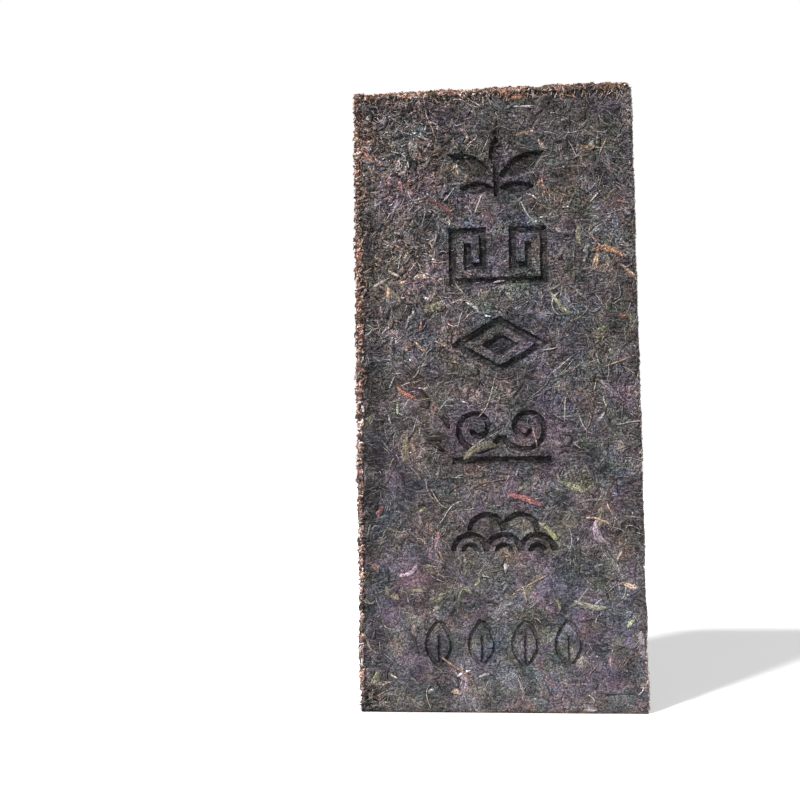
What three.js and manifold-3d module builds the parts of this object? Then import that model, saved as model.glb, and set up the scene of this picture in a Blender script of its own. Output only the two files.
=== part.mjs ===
// A dark tea brick: one slab of tea leaf, pressed hard in a mould, standing on a short end.
// Millimetres, +Z up. The marked face looks towards -Y, and the origin is under the middle of the slab.
import * as THREE from "three";
import { mergeVertices } from "three/addons/utils/BufferGeometryUtils.js";
import { ImprovedNoise } from "three/addons/math/ImprovedNoise.js";
import Module from "manifold-3d";

// Driving dimensions of the whole brick, with the loose bits that stand on it.
const WIDTH = 155;
const THICKNESS = 40;
const HEIGHT = 340;

// How far stems and leaf scraps stand above the pressed surfaces.
const FACE_PROUD = 0.7;
const SIDE_PROUD = 1;
const TOP_PROUD = 0.7;

// The pressed slab under them.
const HALF_WIDTH = WIDTH / 2 - SIDE_PROUD;
const HALF_THICKNESS = THICKNESS / 2 - FACE_PROUD;
const SLAB_TOP = HEIGHT - TOP_PROUD;
const HALF_HEIGHT = SLAB_TOP / 2;
const SLAB_MIDDLE = new THREE.Vector3(0, 0, HALF_HEIGHT);
const SLAB_HALF = new THREE.Vector3(HALF_WIDTH, HALF_THICKNESS, HALF_HEIGHT);

// The rims: narrow where the mould held, wide and crumbled along the left and the top of the marked face.
const RIM = 1.2;
const CRUMBLED_RIM = 3.6;
const CRUMBLED_FROM = 0.93; // as a share of the way from the middle to the edge

// Roughness: how deep the surface lies under the mould's wall, and how long its lumps are.
const FACE_ROUGHNESS = 0.35;
const LOOSE_ROUGHNESS = 0.8;
const SIDE_ROUGHNESS = 0.9;
const LUMP = 13;
const LOOSE_CORNER = new THREE.Vector3(-55, -HALF_THICKNESS, 300); // crumbly part of the marked face
const LOOSE_REACH = 60;

// Grid of the slab's surface.
const CELLS = { across: 14, through: 4, up: 30 };
const RIM_CROWDING = 0.6; // 0 spaces the grid lines evenly, 1 crowds them most towards the rims

// The pressed marks: five ornaments in a column, and a row of leaves under them.
const MARK_DEPTH = 1.9;
const MARK_STROKE = 4.2;
const MARK_X = 2;
const MARK_TOP = 295;
const MARK_PITCH = 49;
const MARK_HALF_WIDTH = 27;
const MARK_HALF_HEIGHT = 16;
const ROW_DEPTH = 1.3;
const ROW_STROKE = 2.4;
const ROW_X = 1;
const ROW_Z = 36.5;
const ROW_PITCH = 23;
const ROW_COUNT = 4;
const ROW_LEAF = { halfWidth: 7, halfHeight: 12 };
const WALL_SLOPE = 0.45; // how far a mark's wall leans outwards over its depth
const STROKE_STEPS = 7;

// Stems and leaf scraps pressed into the surface.
const SEED = 2731;
const STEM = { length: [14, 30], radius: [0.55, 0.9], sag: [-2.5, 2.5], sides: 4, steps: 4 };
const LEAF = { length: [10, 24], halfWidth: [1.8, 4], depth: 1.5, droop: 0.05, curveSteps: 3 };
const WAVE = { height: 0.2, length: 3 };
const PIECE_ROOM = 1.4; // the longest piece, as a share of a surface's narrower half
const PIECE_SPREAD = 0.97; // how much of a surface the pieces take up

// Crumbs broken out of the rims and out of the lower left corner of the marked face.
const RIM_CHIP = { count: 54, size: [1.4, 2.6] };
const CORNER_CHIP = { count: 5, size: [2, 3], across: [0, 8], up: [2, 12] };

const TEA_COLOR = "#4d4446";

const noise = new ImprovedNoise();
const { lerp, smoothstep, seededRandom } = THREE.MathUtils;
seededRandom(SEED);
const between = (low, high) => lerp(low, high, seededRandom());

const wasm = await Module();
wasm.setup();

// A closed geometry as a solid, with its shared points merged.
function solid(geometry) {
  geometry.deleteAttribute("normal");
  geometry.deleteAttribute("uv");
  const merged = mergeVertices(geometry, 1e-3);
  return new wasm.Manifold(
    new wasm.Mesh({
      numProp: 3,
      vertProperties: merged.attributes.position.array,
      triVerts: new Uint32Array(merged.index.array),
    }),
  );
}

// A solid back as a geometry.
function geometryOf(body) {
  const { vertProperties, triVerts } = body.getMesh();
  const geometry = new THREE.BufferGeometry();
  geometry.setAttribute("position", new THREE.BufferAttribute(new Float32Array(vertProperties), 3));
  geometry.setIndex(new THREE.BufferAttribute(new Uint32Array(triVerts), 1));
  geometry.computeVertexNormals();
  return geometry;
}

// Moves every point of a geometry by a function of its place.
function bend(geometry, move) {
  const place = geometry.attributes.position;
  const point = new THREE.Vector3();
  for (let i = 0; i < place.count; i++) {
    point.fromBufferAttribute(place, i);
    move(point);
    place.setXYZ(i, point.x, point.y, point.z);
  }
  return geometry;
}

// ---- The slab ----

const lumps = (p) => noise.noise(p.x / LUMP, p.y / LUMP + 7.3, p.z / LUMP);

const closerAtRims = (t) => lerp(t, Math.sin((t * Math.PI) / 2), RIM_CROWDING);

// The radius of the rim near a point: wide towards the left and the top of the marked face.
function rimAt(p) {
  const leftwards = -p.x / HALF_WIDTH;
  const upwards = (p.z - SLAB_MIDDLE.z) / HALF_HEIGHT;
  const crumbled = smoothstep(Math.max(leftwards, upwards), CRUMBLED_FROM, 1);
  return lerp(RIM, CRUMBLED_RIM, p.y < 0 ? crumbled : 0) * (1 + 0.4 * lumps(p));
}

// How rough the surface is near a point whose outward direction is given.
function roughnessAt(p, out) {
  if (out.z < -0.5) return 0; // the end it stands on is flat
  const onFace = Math.abs(out.y);
  const loose = 1 - smoothstep(p.distanceTo(LOOSE_CORNER), 0, LOOSE_REACH);
  return lerp(SIDE_ROUGHNESS, lerp(FACE_ROUGHNESS, LOOSE_ROUGHNESS, loose), onFace);
}

// A box whose rims are rounded by the radius at each place, and whose surface is lumpy. The end that it
// stands on is flat right up to its rim.
function roughSlab() {
  const grid = new THREE.BoxGeometry(2, 2, 2, CELLS.across, CELLS.through, CELLS.up);
  return bend(grid, (p) => {
    const onFoot = p.z < -0.999;
    p.set(closerAtRims(p.x), closerAtRims(p.y), closerAtRims(p.z)).multiply(SLAB_HALF);
    const rim = rimAt(p.clone().add(SLAB_MIDDLE));
    const innerHalf = SLAB_HALF.clone().subScalar(rim);
    const inner = p.clone().clamp(innerHalf.clone().negate(), innerHalf);
    const out = p.clone().sub(inner).normalize();
    p.copy(inner).addScaledVector(out, rim).add(SLAB_MIDDLE);
    p.addScaledVector(out, -roughnessAt(p, out) * (0.5 + lumps(p)));
    if (onFoot) p.z = 0;
  });
}

// ---- The pressed marks ----

// The outline of a stroke along a curve: its two sides, drawn there and back.
function strokeShape(curve, width, steps = STROKE_STEPS) {
  const left = [];
  const right = [];
  for (let i = 0; i <= steps; i++) {
    const middle = curve.getPointAt(i / steps);
    const along = curve.getTangentAt(i / steps);
    const aside = new THREE.Vector2(-along.y, along.x).multiplyScalar(width / 2);
    left.push(middle.clone().add(aside));
    right.unshift(middle.clone().sub(aside));
  }
  return new THREE.Shape([...left, ...right]);
}

const at = (x, z) => new THREE.Vector2(x, z);
const line = (from, to, width) => strokeShape(new THREE.LineCurve(from, to), width, 1);

function arc(centre, radius, from, to, width, steps) {
  const turn = new THREE.EllipseCurve(centre.x, centre.y, radius, radius, from, to, to < from);
  return strokeShape(turn, width, steps);
}

// A leaf shape between its foot and its tip, as wide on each side as given.
function leafShape(foot, tip, halfWidth, steps = LEAF.curveSteps) {
  const aside = tip.clone().sub(foot).rotateAround(at(0, 0), Math.PI / 2).setLength(halfWidth * 2);
  const middle = foot.clone().lerp(tip, 0.45);
  const shape = new THREE.Shape();
  shape.moveTo(foot.x, foot.y);
  const oneSide = middle.clone().sub(aside);
  const otherSide = middle.clone().add(aside);
  shape.quadraticCurveTo(oneSide.x, oneSide.y, tip.x, tip.y);
  shape.quadraticCurveTo(otherSide.x, otherSide.y, foot.x, foot.y);
  return new THREE.Shape(shape.getPoints(steps).slice(0, -1));
}

// One square turn of a meander, to the left (side -1) or to the right (side 1) of the middle.
function squareSpiral(side, width) {
  const pitch = width * 2;
  const outer = MARK_HALF_WIDTH - width / 2;
  const top = MARK_HALF_HEIGHT - width / 2;
  const corners = [
    at(0, -top),
    at(outer, -top),
    at(outer, top),
    at(outer - 2 * pitch, top),
    at(outer - 2 * pitch, -top + pitch),
    at(outer - pitch, -top + pitch),
    at(outer - pitch, top - pitch),
  ];
  return corners.slice(1).map((corner, i) => {
    const from = at(corners[i].x * side, corners[i].y);
    const to = at(corner.x * side, corner.y);
    const past = to.clone().sub(from).setLength(width / 2);
    return line(from.sub(past), to.add(past), width);
  });
}

const lozengeCorners = (share) => [
  at(0, MARK_HALF_HEIGHT * share),
  at(-MARK_HALF_WIDTH * share, 0),
  at(0, -MARK_HALF_HEIGHT * share),
  at(MARK_HALF_WIDTH * share, 0),
];

// One horn of a cloud scroll, from the middle outwards (side -1 to the left, 1 to the right), winding in.
function horn(side, width) {
  const centre = at(MARK_HALF_WIDTH * 0.49, 3.5);
  const turns = 12;
  const spiral = new THREE.SplineCurve(
    Array.from({ length: turns + 1 }, (_, i) => {
      const angle = lerp(-0.9, 1.9, i / turns) * Math.PI;
      const reach = lerp(centre.x, width * 0.75, i / turns);
      return at(side * (centre.x + reach * Math.cos(angle)), centre.y + reach * Math.sin(angle));
    }),
  );
  return strokeShape(spiral, width, 18);
}

// The five ornaments, each a list of outlines around its own middle.
const ORNAMENTS = [
  function teaSprig() {
    const low = -MARK_HALF_HEIGHT;
    return [
      line(at(0, low), at(0, 4), MARK_STROKE * 0.8),
      leafShape(at(0, 0), at(0, MARK_HALF_HEIGHT + 2), 4, 5),
      ...[-1, 1].flatMap((side) => [
        leafShape(at(side, -5), at(side * MARK_HALF_WIDTH, 9), 5, 6),
        leafShape(at(side, -11), at(side * 21, -11), 3.4, 5),
      ]),
    ];
  },
  function meander() {
    return [...squareSpiral(-1, MARK_STROKE), ...squareSpiral(1, MARK_STROKE)];
  },
  function lozenge() {
    const edge = new THREE.Shape(lozengeCorners(1));
    edge.holes.push(new THREE.Path(lozengeCorners(0.7)));
    return [edge, new THREE.Shape(lozengeCorners(0.4))];
  },
  function cloudScroll() {
    const foot = -MARK_HALF_HEIGHT + MARK_STROKE / 2;
    const base = line(at(-MARK_HALF_WIDTH, foot), at(MARK_HALF_WIDTH, foot), MARK_STROKE);
    return [base, horn(-1, MARK_STROKE * 0.8), horn(1, MARK_STROKE * 0.8)];
  },
  function waveScales() {
    const foot = -MARK_HALF_HEIGHT + 2;
    const radius = MARK_HALF_WIDTH / 3;
    const wave = (x, z) => [arc(at(x, z), radius, 0, Math.PI, MARK_STROKE * 0.8, 6)];
    const low = [-2, 0, 2].flatMap((i) => [
      ...wave(i * radius, foot),
      arc(at(i * radius, foot), radius * 0.4, 0, Math.PI, MARK_STROKE * 0.7, 4),
    ]);
    const high = [-1, 1].flatMap((i) => wave(i * radius, foot + radius * 1.2));
    return [...low, ...high];
  },
];

// A pointed leaf drawn by its edge and its middle vein.
function rowLeaf() {
  const { halfWidth, halfHeight } = ROW_LEAF;
  const foot = at(0, -halfHeight);
  const tip = at(0, halfHeight);
  const edges = [-1, 1].map((side) => {
    const aside = at(side * halfWidth * 1.9, -halfHeight * 0.1);
    return strokeShape(new THREE.QuadraticBezierCurve(foot, aside, tip), ROW_STROKE, 6);
  });
  return [...edges, line(at(0, -halfHeight * 1.1), at(0, halfHeight * 0.35), ROW_STROKE * 0.8)];
}

// A cutter for one outline in the marked face: straight above the surface, leaning in below it.
function markCutter(shape, x, z, depth) {
  const above = 3;
  const geometry = new THREE.ExtrudeGeometry(shape, {
    depth: above,
    bevelThickness: depth,
    bevelSize: WALL_SLOPE,
    bevelOffset: -WALL_SLOPE / 2,
    bevelSegments: 1,
    curveSegments: LEAF.curveSteps,
  });
  // The outline lies in the geometry's X and Y; its depth turns to lie along Y.
  geometry.rotateX(Math.PI / 2);
  geometry.translate(x, -HALF_THICKNESS, z);
  return solid(geometry);
}

function pressMarks(brick) {
  ORNAMENTS.forEach((ornament, row) => {
    for (const shape of ornament()) {
      const cutter = markCutter(shape, MARK_X, MARK_TOP - row * MARK_PITCH, MARK_DEPTH);
      brick = brick.subtract(cutter);
    }
  });
  for (let i = 0; i < ROW_COUNT; i++) {
    const x = ROW_X + (i - (ROW_COUNT - 1) / 2) * ROW_PITCH;
    for (const shape of rowLeaf()) brick = brick.subtract(markCutter(shape, x, ROW_Z, ROW_DEPTH));
  }
  return brick;
}

// ---- Stems, leaf scraps and crumbled rims ----

// A surface that carries pieces: the directions that lie along it, how far pieces stand proud of it, and
// how many it carries. A piece is made lying in X and Y with Z outwards, and is then set on a surface.
function surface(across, up, proud, stems, leaves) {
  const half = at(Math.abs(across.dot(SLAB_HALF)), Math.abs(up.dot(SLAB_HALF)));
  return { across, up, half, proud, stems, leaves };
}

const X = new THREE.Vector3(1, 0, 0);
const Y = new THREE.Vector3(0, 1, 0);
const Z = new THREE.Vector3(0, 0, 1);
const SURFACES = {
  front: surface(X, Z, FACE_PROUD, 18, 26),
  back: surface(X.clone().negate(), Z, FACE_PROUD, 6, 10),
  left: surface(Y.clone().negate(), Z, SIDE_PROUD, 3, 5),
  right: surface(Y, Z, SIDE_PROUD, 3, 5),
  top: surface(X, Y, TOP_PROUD, 2, 3),
};

// The matrix that sets a piece on a surface: its place from the surface's middle, and its turn.
function setting({ across, up }, x, y, angle) {
  const out = new THREE.Vector3().crossVectors(across, up);
  const reach = Math.abs(out.dot(SLAB_HALF));
  const origin = SLAB_MIDDLE.clone()
    .addScaledVector(across, x)
    .addScaledVector(up, y)
    .addScaledVector(out, reach);
  return new THREE.Matrix4()
    .makeBasis(across, up, out)
    .setPosition(origin)
    .multiply(new THREE.Matrix4().makeRotationZ(angle));
}

// A bent length of stem, its ends sunk into the tea.
function stem(length, radius, sag, proud) {
  const height = proud * between(0.6, 1.02) - radius;
  const path = new THREE.CatmullRomCurve3([
    new THREE.Vector3(-length / 2, 0, height - 2 * radius),
    new THREE.Vector3(-length * 0.3, sag * 0.8, height),
    new THREE.Vector3(length * 0.1, sag, height),
    new THREE.Vector3(length / 2, 0, height - 2 * radius),
  ]);
  const round = new THREE.Shape(
    Array.from({ length: STEM.sides }, (_, i) => {
      const angle = (i / STEM.sides) * Math.PI * 2;
      return at(radius * Math.cos(angle), radius * Math.sin(angle));
    }),
  );
  return new THREE.ExtrudeGeometry(round, { steps: STEM.steps, bevelEnabled: false, extrudePath: path });
}

// A thin wavy scrap of leaf, thick enough to be rooted in the slab.
function leafScrap(length, halfWidth, proud) {
  const outline = leafShape(at(-length / 2, 0), at(length / 2, 0), halfWidth);
  const scrap = new THREE.ExtrudeGeometry(outline, { depth: LEAF.depth, bevelEnabled: false });
  const phase = between(0, 10);
  const crest = between(0.6, 1.05) * proud;
  return bend(scrap, (p) => {
    const wave = WAVE.height * (1 - Math.sin(p.x / WAVE.length + phase));
    p.z += crest - LEAF.depth - wave - LEAF.droop * Math.abs(p.y);
  });
}

// Numbers from 0 to 1 that spread evenly, without lining up.
function evenly(index, base) {
  let share = 0;
  let digit = 1;
  for (let i = index; i > 0; i = Math.floor(i / base)) {
    digit /= base;
    share += digit * (i % base);
  }
  return share;
}

// A stem or a scrap of a size drawn at random, short enough for the surface it lies on.
function drawnPiece(isStem, { half, proud }) {
  const room = Math.min(half.x, half.y) * PIECE_ROOM;
  const length = Math.min(between(...(isStem ? STEM.length : LEAF.length)), room);
  return isStem
    ? stem(length, between(...STEM.radius), between(...STEM.sag), proud)
    : leafScrap(length, between(...LEAF.halfWidth), proud);
}

// Stems and scraps spread evenly over each surface, the stems evenly among the scraps.
function scatterPieces(brick) {
  for (const carrier of Object.values(SURFACES)) {
    const { half, stems, leaves } = carrier;
    const stemsAmong = (count) => Math.floor((count * stems) / (stems + leaves));
    for (let i = 0; i < stems + leaves; i++) {
      const x = half.x * PIECE_SPREAD * lerp(-1, 1, evenly(i + 1, 2));
      const y = half.y * PIECE_SPREAD * lerp(-1, 1, evenly(i + 1, 3));
      const angle = between(0, Math.PI);
      const piece = drawnPiece(stemsAmong(i + 1) > stemsAmong(i), carrier);
      brick = brick.add(solid(piece.applyMatrix4(setting(carrier, x, y, angle))));
    }
  }
  return brick;
}

// The stems and scraps that stand out most on the marked face: each one's ends and half width.
const NOTABLE = [
  { kind: stem, from: at(-32, 29.5), to: at(-12.5, 13), half: 0.9 },
  { kind: stem, from: at(25, 73), to: at(12, 65), half: 0.7 },
  { kind: stem, from: at(12, 65.5), to: at(13.5, 58), half: 0.6 },
  { kind: stem, from: at(-74, 41), to: at(-67, 30), half: 0.7 },
  { kind: stem, from: at(-16, 338), to: at(-6, 329), half: 0.6 },
  { kind: stem, from: at(-40, 281), to: at(-21, 269.5), half: 0.8 },
  { kind: leafScrap, from: at(4.5, 115.5), to: at(24, 109), half: 1.6 },
  { kind: leafScrap, from: at(-19, 134.5), to: at(0, 142), half: 2.4 },
  { kind: leafScrap, from: at(-39, 216), to: at(-26, 219), half: 2.6 },
  { kind: leafScrap, from: at(52, 246.5), to: at(70, 243), half: 2.8 },
  { kind: leafScrap, from: at(38, 59.5), to: at(57, 55), half: 2 },
];

function placeNotable(brick) {
  for (const { kind, from, to, half } of NOTABLE) {
    const length = from.distanceTo(to);
    const piece =
      kind === stem ? stem(length, half, length * 0.06, FACE_PROUD) : leafScrap(length, half, FACE_PROUD);
    const middle = from.clone().lerp(to, 0.5);
    const angle = to.clone().sub(from).angle();
    const place = setting(SURFACES.front, middle.x, middle.y - SLAB_MIDDLE.z, angle);
    brick = brick.add(solid(piece.applyMatrix4(place)));
  }
  return brick;
}

// A crumb's shape, to be broken out of a rim.
function chip(x, y, z, size) {
  const lump = new THREE.IcosahedronGeometry(size, 0);
  lump.rotateX(between(0, 3)).rotateZ(between(0, 3));
  lump.scale(between(0.6, 1.2), between(0.6, 1.2), between(0.8, 2.2));
  return solid(lump.translate(x, y, z));
}

// Crumbs broken out all round both faces' rims, most of them on the left and the top of the marked face.
function crumbleRims(brick) {
  for (let i = 0; i < RIM_CHIP.count; i++) {
    const marked = i % 3 > 0;
    const y = marked ? -HALF_THICKNESS : HALF_THICKNESS;
    const z = lerp(0, SLAB_TOP, evenly(i + 1, 3));
    const alongTop = i % 4 === 0;
    const side = marked && i % 5 > 0 ? -1 : 1;
    const x = alongTop ? lerp(-HALF_WIDTH, HALF_WIDTH, evenly(i + 1, 2)) : side * HALF_WIDTH;
    brick = brick.subtract(chip(x, y, alongTop ? SLAB_TOP : z, between(...RIM_CHIP.size)));
  }
  for (let i = 0; i < CORNER_CHIP.count; i++) {
    const x = -HALF_WIDTH + between(...CORNER_CHIP.across);
    const size = between(...CORNER_CHIP.size);
    brick = brick.subtract(chip(x, -HALF_THICKNESS, between(...CORNER_CHIP.up), size));
  }
  return brick;
}

// The inside of the mould: nothing reaches past it, and the end that stands is flat.
function mould() {
  return solid(new THREE.BoxGeometry(WIDTH, THICKNESS, HEIGHT).translate(0, 0, HEIGHT / 2));
}

function teaBrick() {
  let brick = crumbleRims(solid(roughSlab()));
  brick = placeNotable(scatterPieces(brick));
  brick = pressMarks(brick).intersect(mould());
  const bodies = brick.decompose().sort((a, b) => b.volume() - a.volume());
  const material = new THREE.MeshStandardMaterial({ color: TEA_COLOR, roughness: 0.8, metalness: 0 });
  const mesh = new THREE.Mesh(geometryOf(bodies[0]), material);
  mesh.name = "tea_brick";
  return mesh;
}

const part = new THREE.Group();
part.add(teaBrick());

export default part;
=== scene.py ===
"""A dark tea brick: a slab of pressed leaf on its short end, with ornaments pressed into one face.

The slab, its leaf scraps, stems, fibres and crumbs are built as meshes round the solid of the brick.
Lengths are millimetres until a mesh is made; X is across the face, Y through the brick, Z up.
"""

import math
from collections import namedtuple

import bmesh
import bpy
import numpy as np
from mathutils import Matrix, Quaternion, Vector


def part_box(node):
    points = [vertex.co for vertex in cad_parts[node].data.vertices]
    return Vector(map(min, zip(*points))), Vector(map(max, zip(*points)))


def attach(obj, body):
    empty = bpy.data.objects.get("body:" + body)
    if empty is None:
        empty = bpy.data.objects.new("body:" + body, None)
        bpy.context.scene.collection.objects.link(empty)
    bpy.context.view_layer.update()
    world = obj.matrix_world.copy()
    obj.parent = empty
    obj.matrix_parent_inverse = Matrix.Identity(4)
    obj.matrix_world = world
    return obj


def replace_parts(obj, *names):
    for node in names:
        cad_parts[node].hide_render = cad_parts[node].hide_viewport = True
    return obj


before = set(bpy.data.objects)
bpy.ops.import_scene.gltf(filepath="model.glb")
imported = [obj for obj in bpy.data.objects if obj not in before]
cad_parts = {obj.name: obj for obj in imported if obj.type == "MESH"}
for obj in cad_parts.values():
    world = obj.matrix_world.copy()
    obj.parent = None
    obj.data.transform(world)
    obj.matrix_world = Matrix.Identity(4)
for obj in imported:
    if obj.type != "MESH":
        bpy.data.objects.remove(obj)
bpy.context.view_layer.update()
MM = 0.001
SEED = 4127
rng = np.random.default_rng(SEED)

# ---- The slab, from the solid's box ----

low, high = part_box("tea_brick")
FACE_PROUD = 0.7  # how far stems and scraps stand above the pressed faces
SIDE_PROUD = 1.0  # above the two long sides
TOP_PROUD = 0.7  # and above the top
OVER_FACE = 1.0  # how far the loose bits at the rims may stand above the faces
SLAB_SIZE = np.array((high - low) / MM) - (2 * SIDE_PROUD, 2 * FACE_PROUD, TOP_PROUD)
SLAB_HALF = SLAB_SIZE / 2
SLAB_MIDDLE = np.array((0, 0, SLAB_HALF[2]))

RIM = 1.2  # radius of the rims that the mould held
CRUMBLED_RIM = 2.8  # and of the crumbled ones, along the left and the top of the marked face
CRUMBLED_FROM = 0.94  # where a crumbled rim begins, as a share of the way from the slab's middle
LOOSE_CORNER = np.array((-62, -SLAB_HALF[1], 290))  # the part of the face that is crumbly
LOOSE_REACH = 70  # how far from there it is firmly pressed again
BAND_TOP = (255, 300)  # heights over which the dark band beside the left rim fades away
BAND_END = (10, 19)  # and how far from that rim it does
DIM_DEPTH = (-14, -17)  # how near the marked face, along Y, the leaf begins to be dimmed and is so in full
HUE_DEPTH = (-18, -12)  # how far back, along Y, the hue of the face's own rims fades away
BROKEN_CORNER = np.array((-71, -SLAB_HALF[1], 5))
BROKEN_REACH = 7
BROKEN_DEPTH = 3.2
BROAD_DENT = 13  # lengths of the surface's lumps, from broad dents to the finest
SMALL_DENT = 5
CRUMBLY_LUMP = 3.1
FINE_LUMP = 2.3
FINEST_LUMP = 1.15

# Lines of the slab's grid: more of them where the marks are, and most along the walls of the marks.
GRID_LINES = {"across": 118, "through": 17, "up": 262}
PLAIN_DENSITY = 0.7  # how close the lines are away from the marks, as a share
WALL_REACH = 0.6  # how far beside a mark's wall the grid is refined
SNAP_REACH = 0.28  # how far from a wall's top and foot its points are moved onto them
GRID_ACROSS = (-46, 48)  # where the marks are, from the middle of the face
COLUMN_SPAN = (-18, 19)  # what one mark of the column takes up, from its own middle
ROW_SPAN = (-15, 14)  # and what the row of leaves does

# ---- The pressed marks ----

MARK_DEPTH = 1.9
MARK_STROKE = 4.2
MARK_X = 2  # the middle of the column of marks
MARK_TOP = 295  # how high the middle of its topmost mark is
MARK_PITCH = 49
MARK_HALF = np.array((27, 16))  # half the width and height of a mark
ROW_DEPTH = 1.3
ROW_STROKE = 2.4
ROW_X = 1
ROW_Z = 36.5
ROW_PITCH = 23
ROW_COUNT = 4
ROW_LEAF = np.array((7, 12))  # half the width and height of each leaf in the row
WALL = 0.5  # how wide a mark's steep wall is, seen from the front
RAGGED = 0.35  # how far the edge of a mark wanders
RAGGED_LENGTH = 2.6  # over this length
MAP_STEP = 0.25  # of the map that holds the distance to the marks

# ---- Camera and light, as the photograph was taken ----

CAMERA_PLACE = Vector((-5.9, -555.4, 132.0)) * MM
CAMERA_AIM = Vector((-52.9, -19.3, 167.7)) * MM
CAMERA_ROLL = math.radians(-0.81)
SENSOR_WIDTH = 36
LENS = 44.37

X, Y, Z = np.eye(3)
Panel = namedtuple("Panel", "name across up half_across half_up")
MARKED_FACE = Panel("front", X, Z, SLAB_HALF[0], SLAB_HALF[2])
PLAIN_FACE = MARKED_FACE._replace(name="plain front")  # as if unmarked, for things that bridge the marks
BACK = Panel("back", -X, Z, SLAB_HALF[0], SLAB_HALF[2])
LEFT = Panel("left", -Y, Z, SLAB_HALF[1], SLAB_HALF[2])
RIGHT = Panel("right", Y, Z, SLAB_HALF[1], SLAB_HALF[2])
TOP = Panel("top", X, Y, SLAB_HALF[0], SLAB_HALF[1])
FOOT = Panel("foot", X, -Y, SLAB_HALF[0], SLAB_HALF[1])


# ---------------------------------------------------------------- noise and small helpers

NOISE_CELLS = 64
NOISE_TABLE = rng.uniform(-1, 1, (NOISE_CELLS,) * 3)


def smooth(value, start, end):
    """0 before start, 1 after end, and a smooth step between."""
    t = np.clip((value - start) / (end - start), 0, 1)
    return t * t * (3 - 2 * t)


def lumps(points, size, seed=0):
    """Smooth noise from -1 to 1 at each point; its lumps are as long as size, one number or one an axis.

    The seed sets one noise apart from another.
    """
    cell = points / np.array(size) + seed * 17.31
    corner = np.floor(cell).astype(int)
    part = cell - corner
    part = part * part * (3 - 2 * part)
    total = np.zeros(len(points))
    for step in np.ndindex(2, 2, 2):
        at = (corner + step) % NOISE_CELLS
        weight = np.prod(np.where(step, part, 1 - part), axis=1)
        total += weight * NOISE_TABLE[at[:, 0], at[:, 1], at[:, 2]]
    return total


def flat_lumps(u, v, size, seed=0):
    """The same noise over a flat map."""
    return lumps(np.column_stack((u, v, np.full(len(u), 0.5))), size, seed)


def linear(red, green, blue):
    """A colour given as the eye sees it, 0 to 255, as linear light."""
    share = np.array((red, green, blue)) / 255
    return np.where(share <= 0.04045, share / 12.92, ((share + 0.055) / 1.055) ** 2.4)


# ---------------------------------------------------------------- outlines of the marks


def line(start, end, width):
    """The outline of a straight stroke."""
    start, end = np.array(start, float), np.array(end, float)
    along = (end - start) / np.linalg.norm(end - start)
    aside = np.array((-along[1], along[0])) * width / 2
    return np.array((start + aside, end + aside, end - aside, start - aside))


def stroke(path, width):
    """The outline of a stroke along a curved path."""
    along = np.gradient(path, axis=0)
    along /= np.linalg.norm(along, axis=1, keepdims=True)
    aside = np.column_stack((-along[:, 1], along[:, 0])) * width / 2
    return np.concatenate((path + aside, (path - aside)[::-1]))


def arch(middle, radius, width, steps=16):
    """The outline of a half ring that stands on its two ends."""
    angle = np.linspace(0, math.pi, steps)
    return stroke(middle + radius * np.column_stack((np.cos(angle), np.sin(angle))), width)


def curve(start, pull, end, steps=16):
    """Points along a curve that leaves start towards pull and comes into end from it."""
    t = np.linspace(0, 1, steps)[:, None]
    return (1 - t) ** 2 * np.array(start) + 2 * t * (1 - t) * np.array(pull) + t**2 * np.array(end)


def leaf(foot, tip, half_width):
    """The outline of a leaf from its foot to its tip."""
    foot, tip = np.array(foot, float), np.array(tip, float)
    along = (tip - foot) / np.linalg.norm(tip - foot)
    aside = np.array((-along[1], along[0])) * half_width * 2
    middle = foot + (tip - foot) * 0.45
    return np.concatenate((curve(foot, middle - aside, tip), curve(tip, middle + aside, foot)[1:-1]))


def tea_sprig():
    """A stem with a bud and two pairs of leaves."""
    half_width, half_height = MARK_HALF
    yield [line((0, -half_height), (0, 4), MARK_STROKE * 0.8)]
    yield [leaf((0, 0), (0, half_height + 2), 4)]
    for side in (-1, 1):
        yield [leaf((side, -5), (side * half_width, 9), 5)]
        yield [leaf((side, -11), (side * 21, -11), 3.4)]


def meander():
    """Two square spirals, one the mirror of the other."""
    pitch = MARK_STROKE * 2
    outer, top = MARK_HALF - MARK_STROKE / 2
    corners = np.array(
        (
            (0, -top),
            (outer, -top),
            (outer, top),
            (outer - 2 * pitch, top),
            (outer - 2 * pitch, -top + pitch),
            (outer - pitch, -top + pitch),
            (outer - pitch, top - pitch),
        )
    )
    for side in (-1, 1):
        turned = corners * (side, 1)
        for start, end in zip(turned, turned[1:]):
            past = (end - start) / np.linalg.norm(end - start) * MARK_STROKE / 2
            yield [line(start - past, end + past, MARK_STROKE)]


def lozenge():
    """A lozenge with a ring round it."""
    corners = np.array(((0, 1), (-1, 0), (0, -1), (1, 0))) * MARK_HALF
    yield [corners, corners * 0.7]
    yield [corners * 0.4]


def cloud_scroll():
    """Two horns that wind inwards over a base line."""
    half_width, half_height = MARK_HALF
    foot = -half_height + MARK_STROKE / 2
    yield [line((-half_width, foot), (half_width, foot), MARK_STROKE)]
    width = MARK_STROKE * 0.8
    centre = np.array((half_width * 0.49, 3.5))
    share = np.linspace(0, 1, 48)
    angle = (-0.9 + 2.8 * share) * math.pi
    reach = centre[0] + (width * 0.75 - centre[0]) * share
    horn = centre + reach[:, None] * np.column_stack((np.cos(angle), np.sin(angle)))
    for side in (-1, 1):
        yield [stroke(horn * (side, 1), width)]


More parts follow.
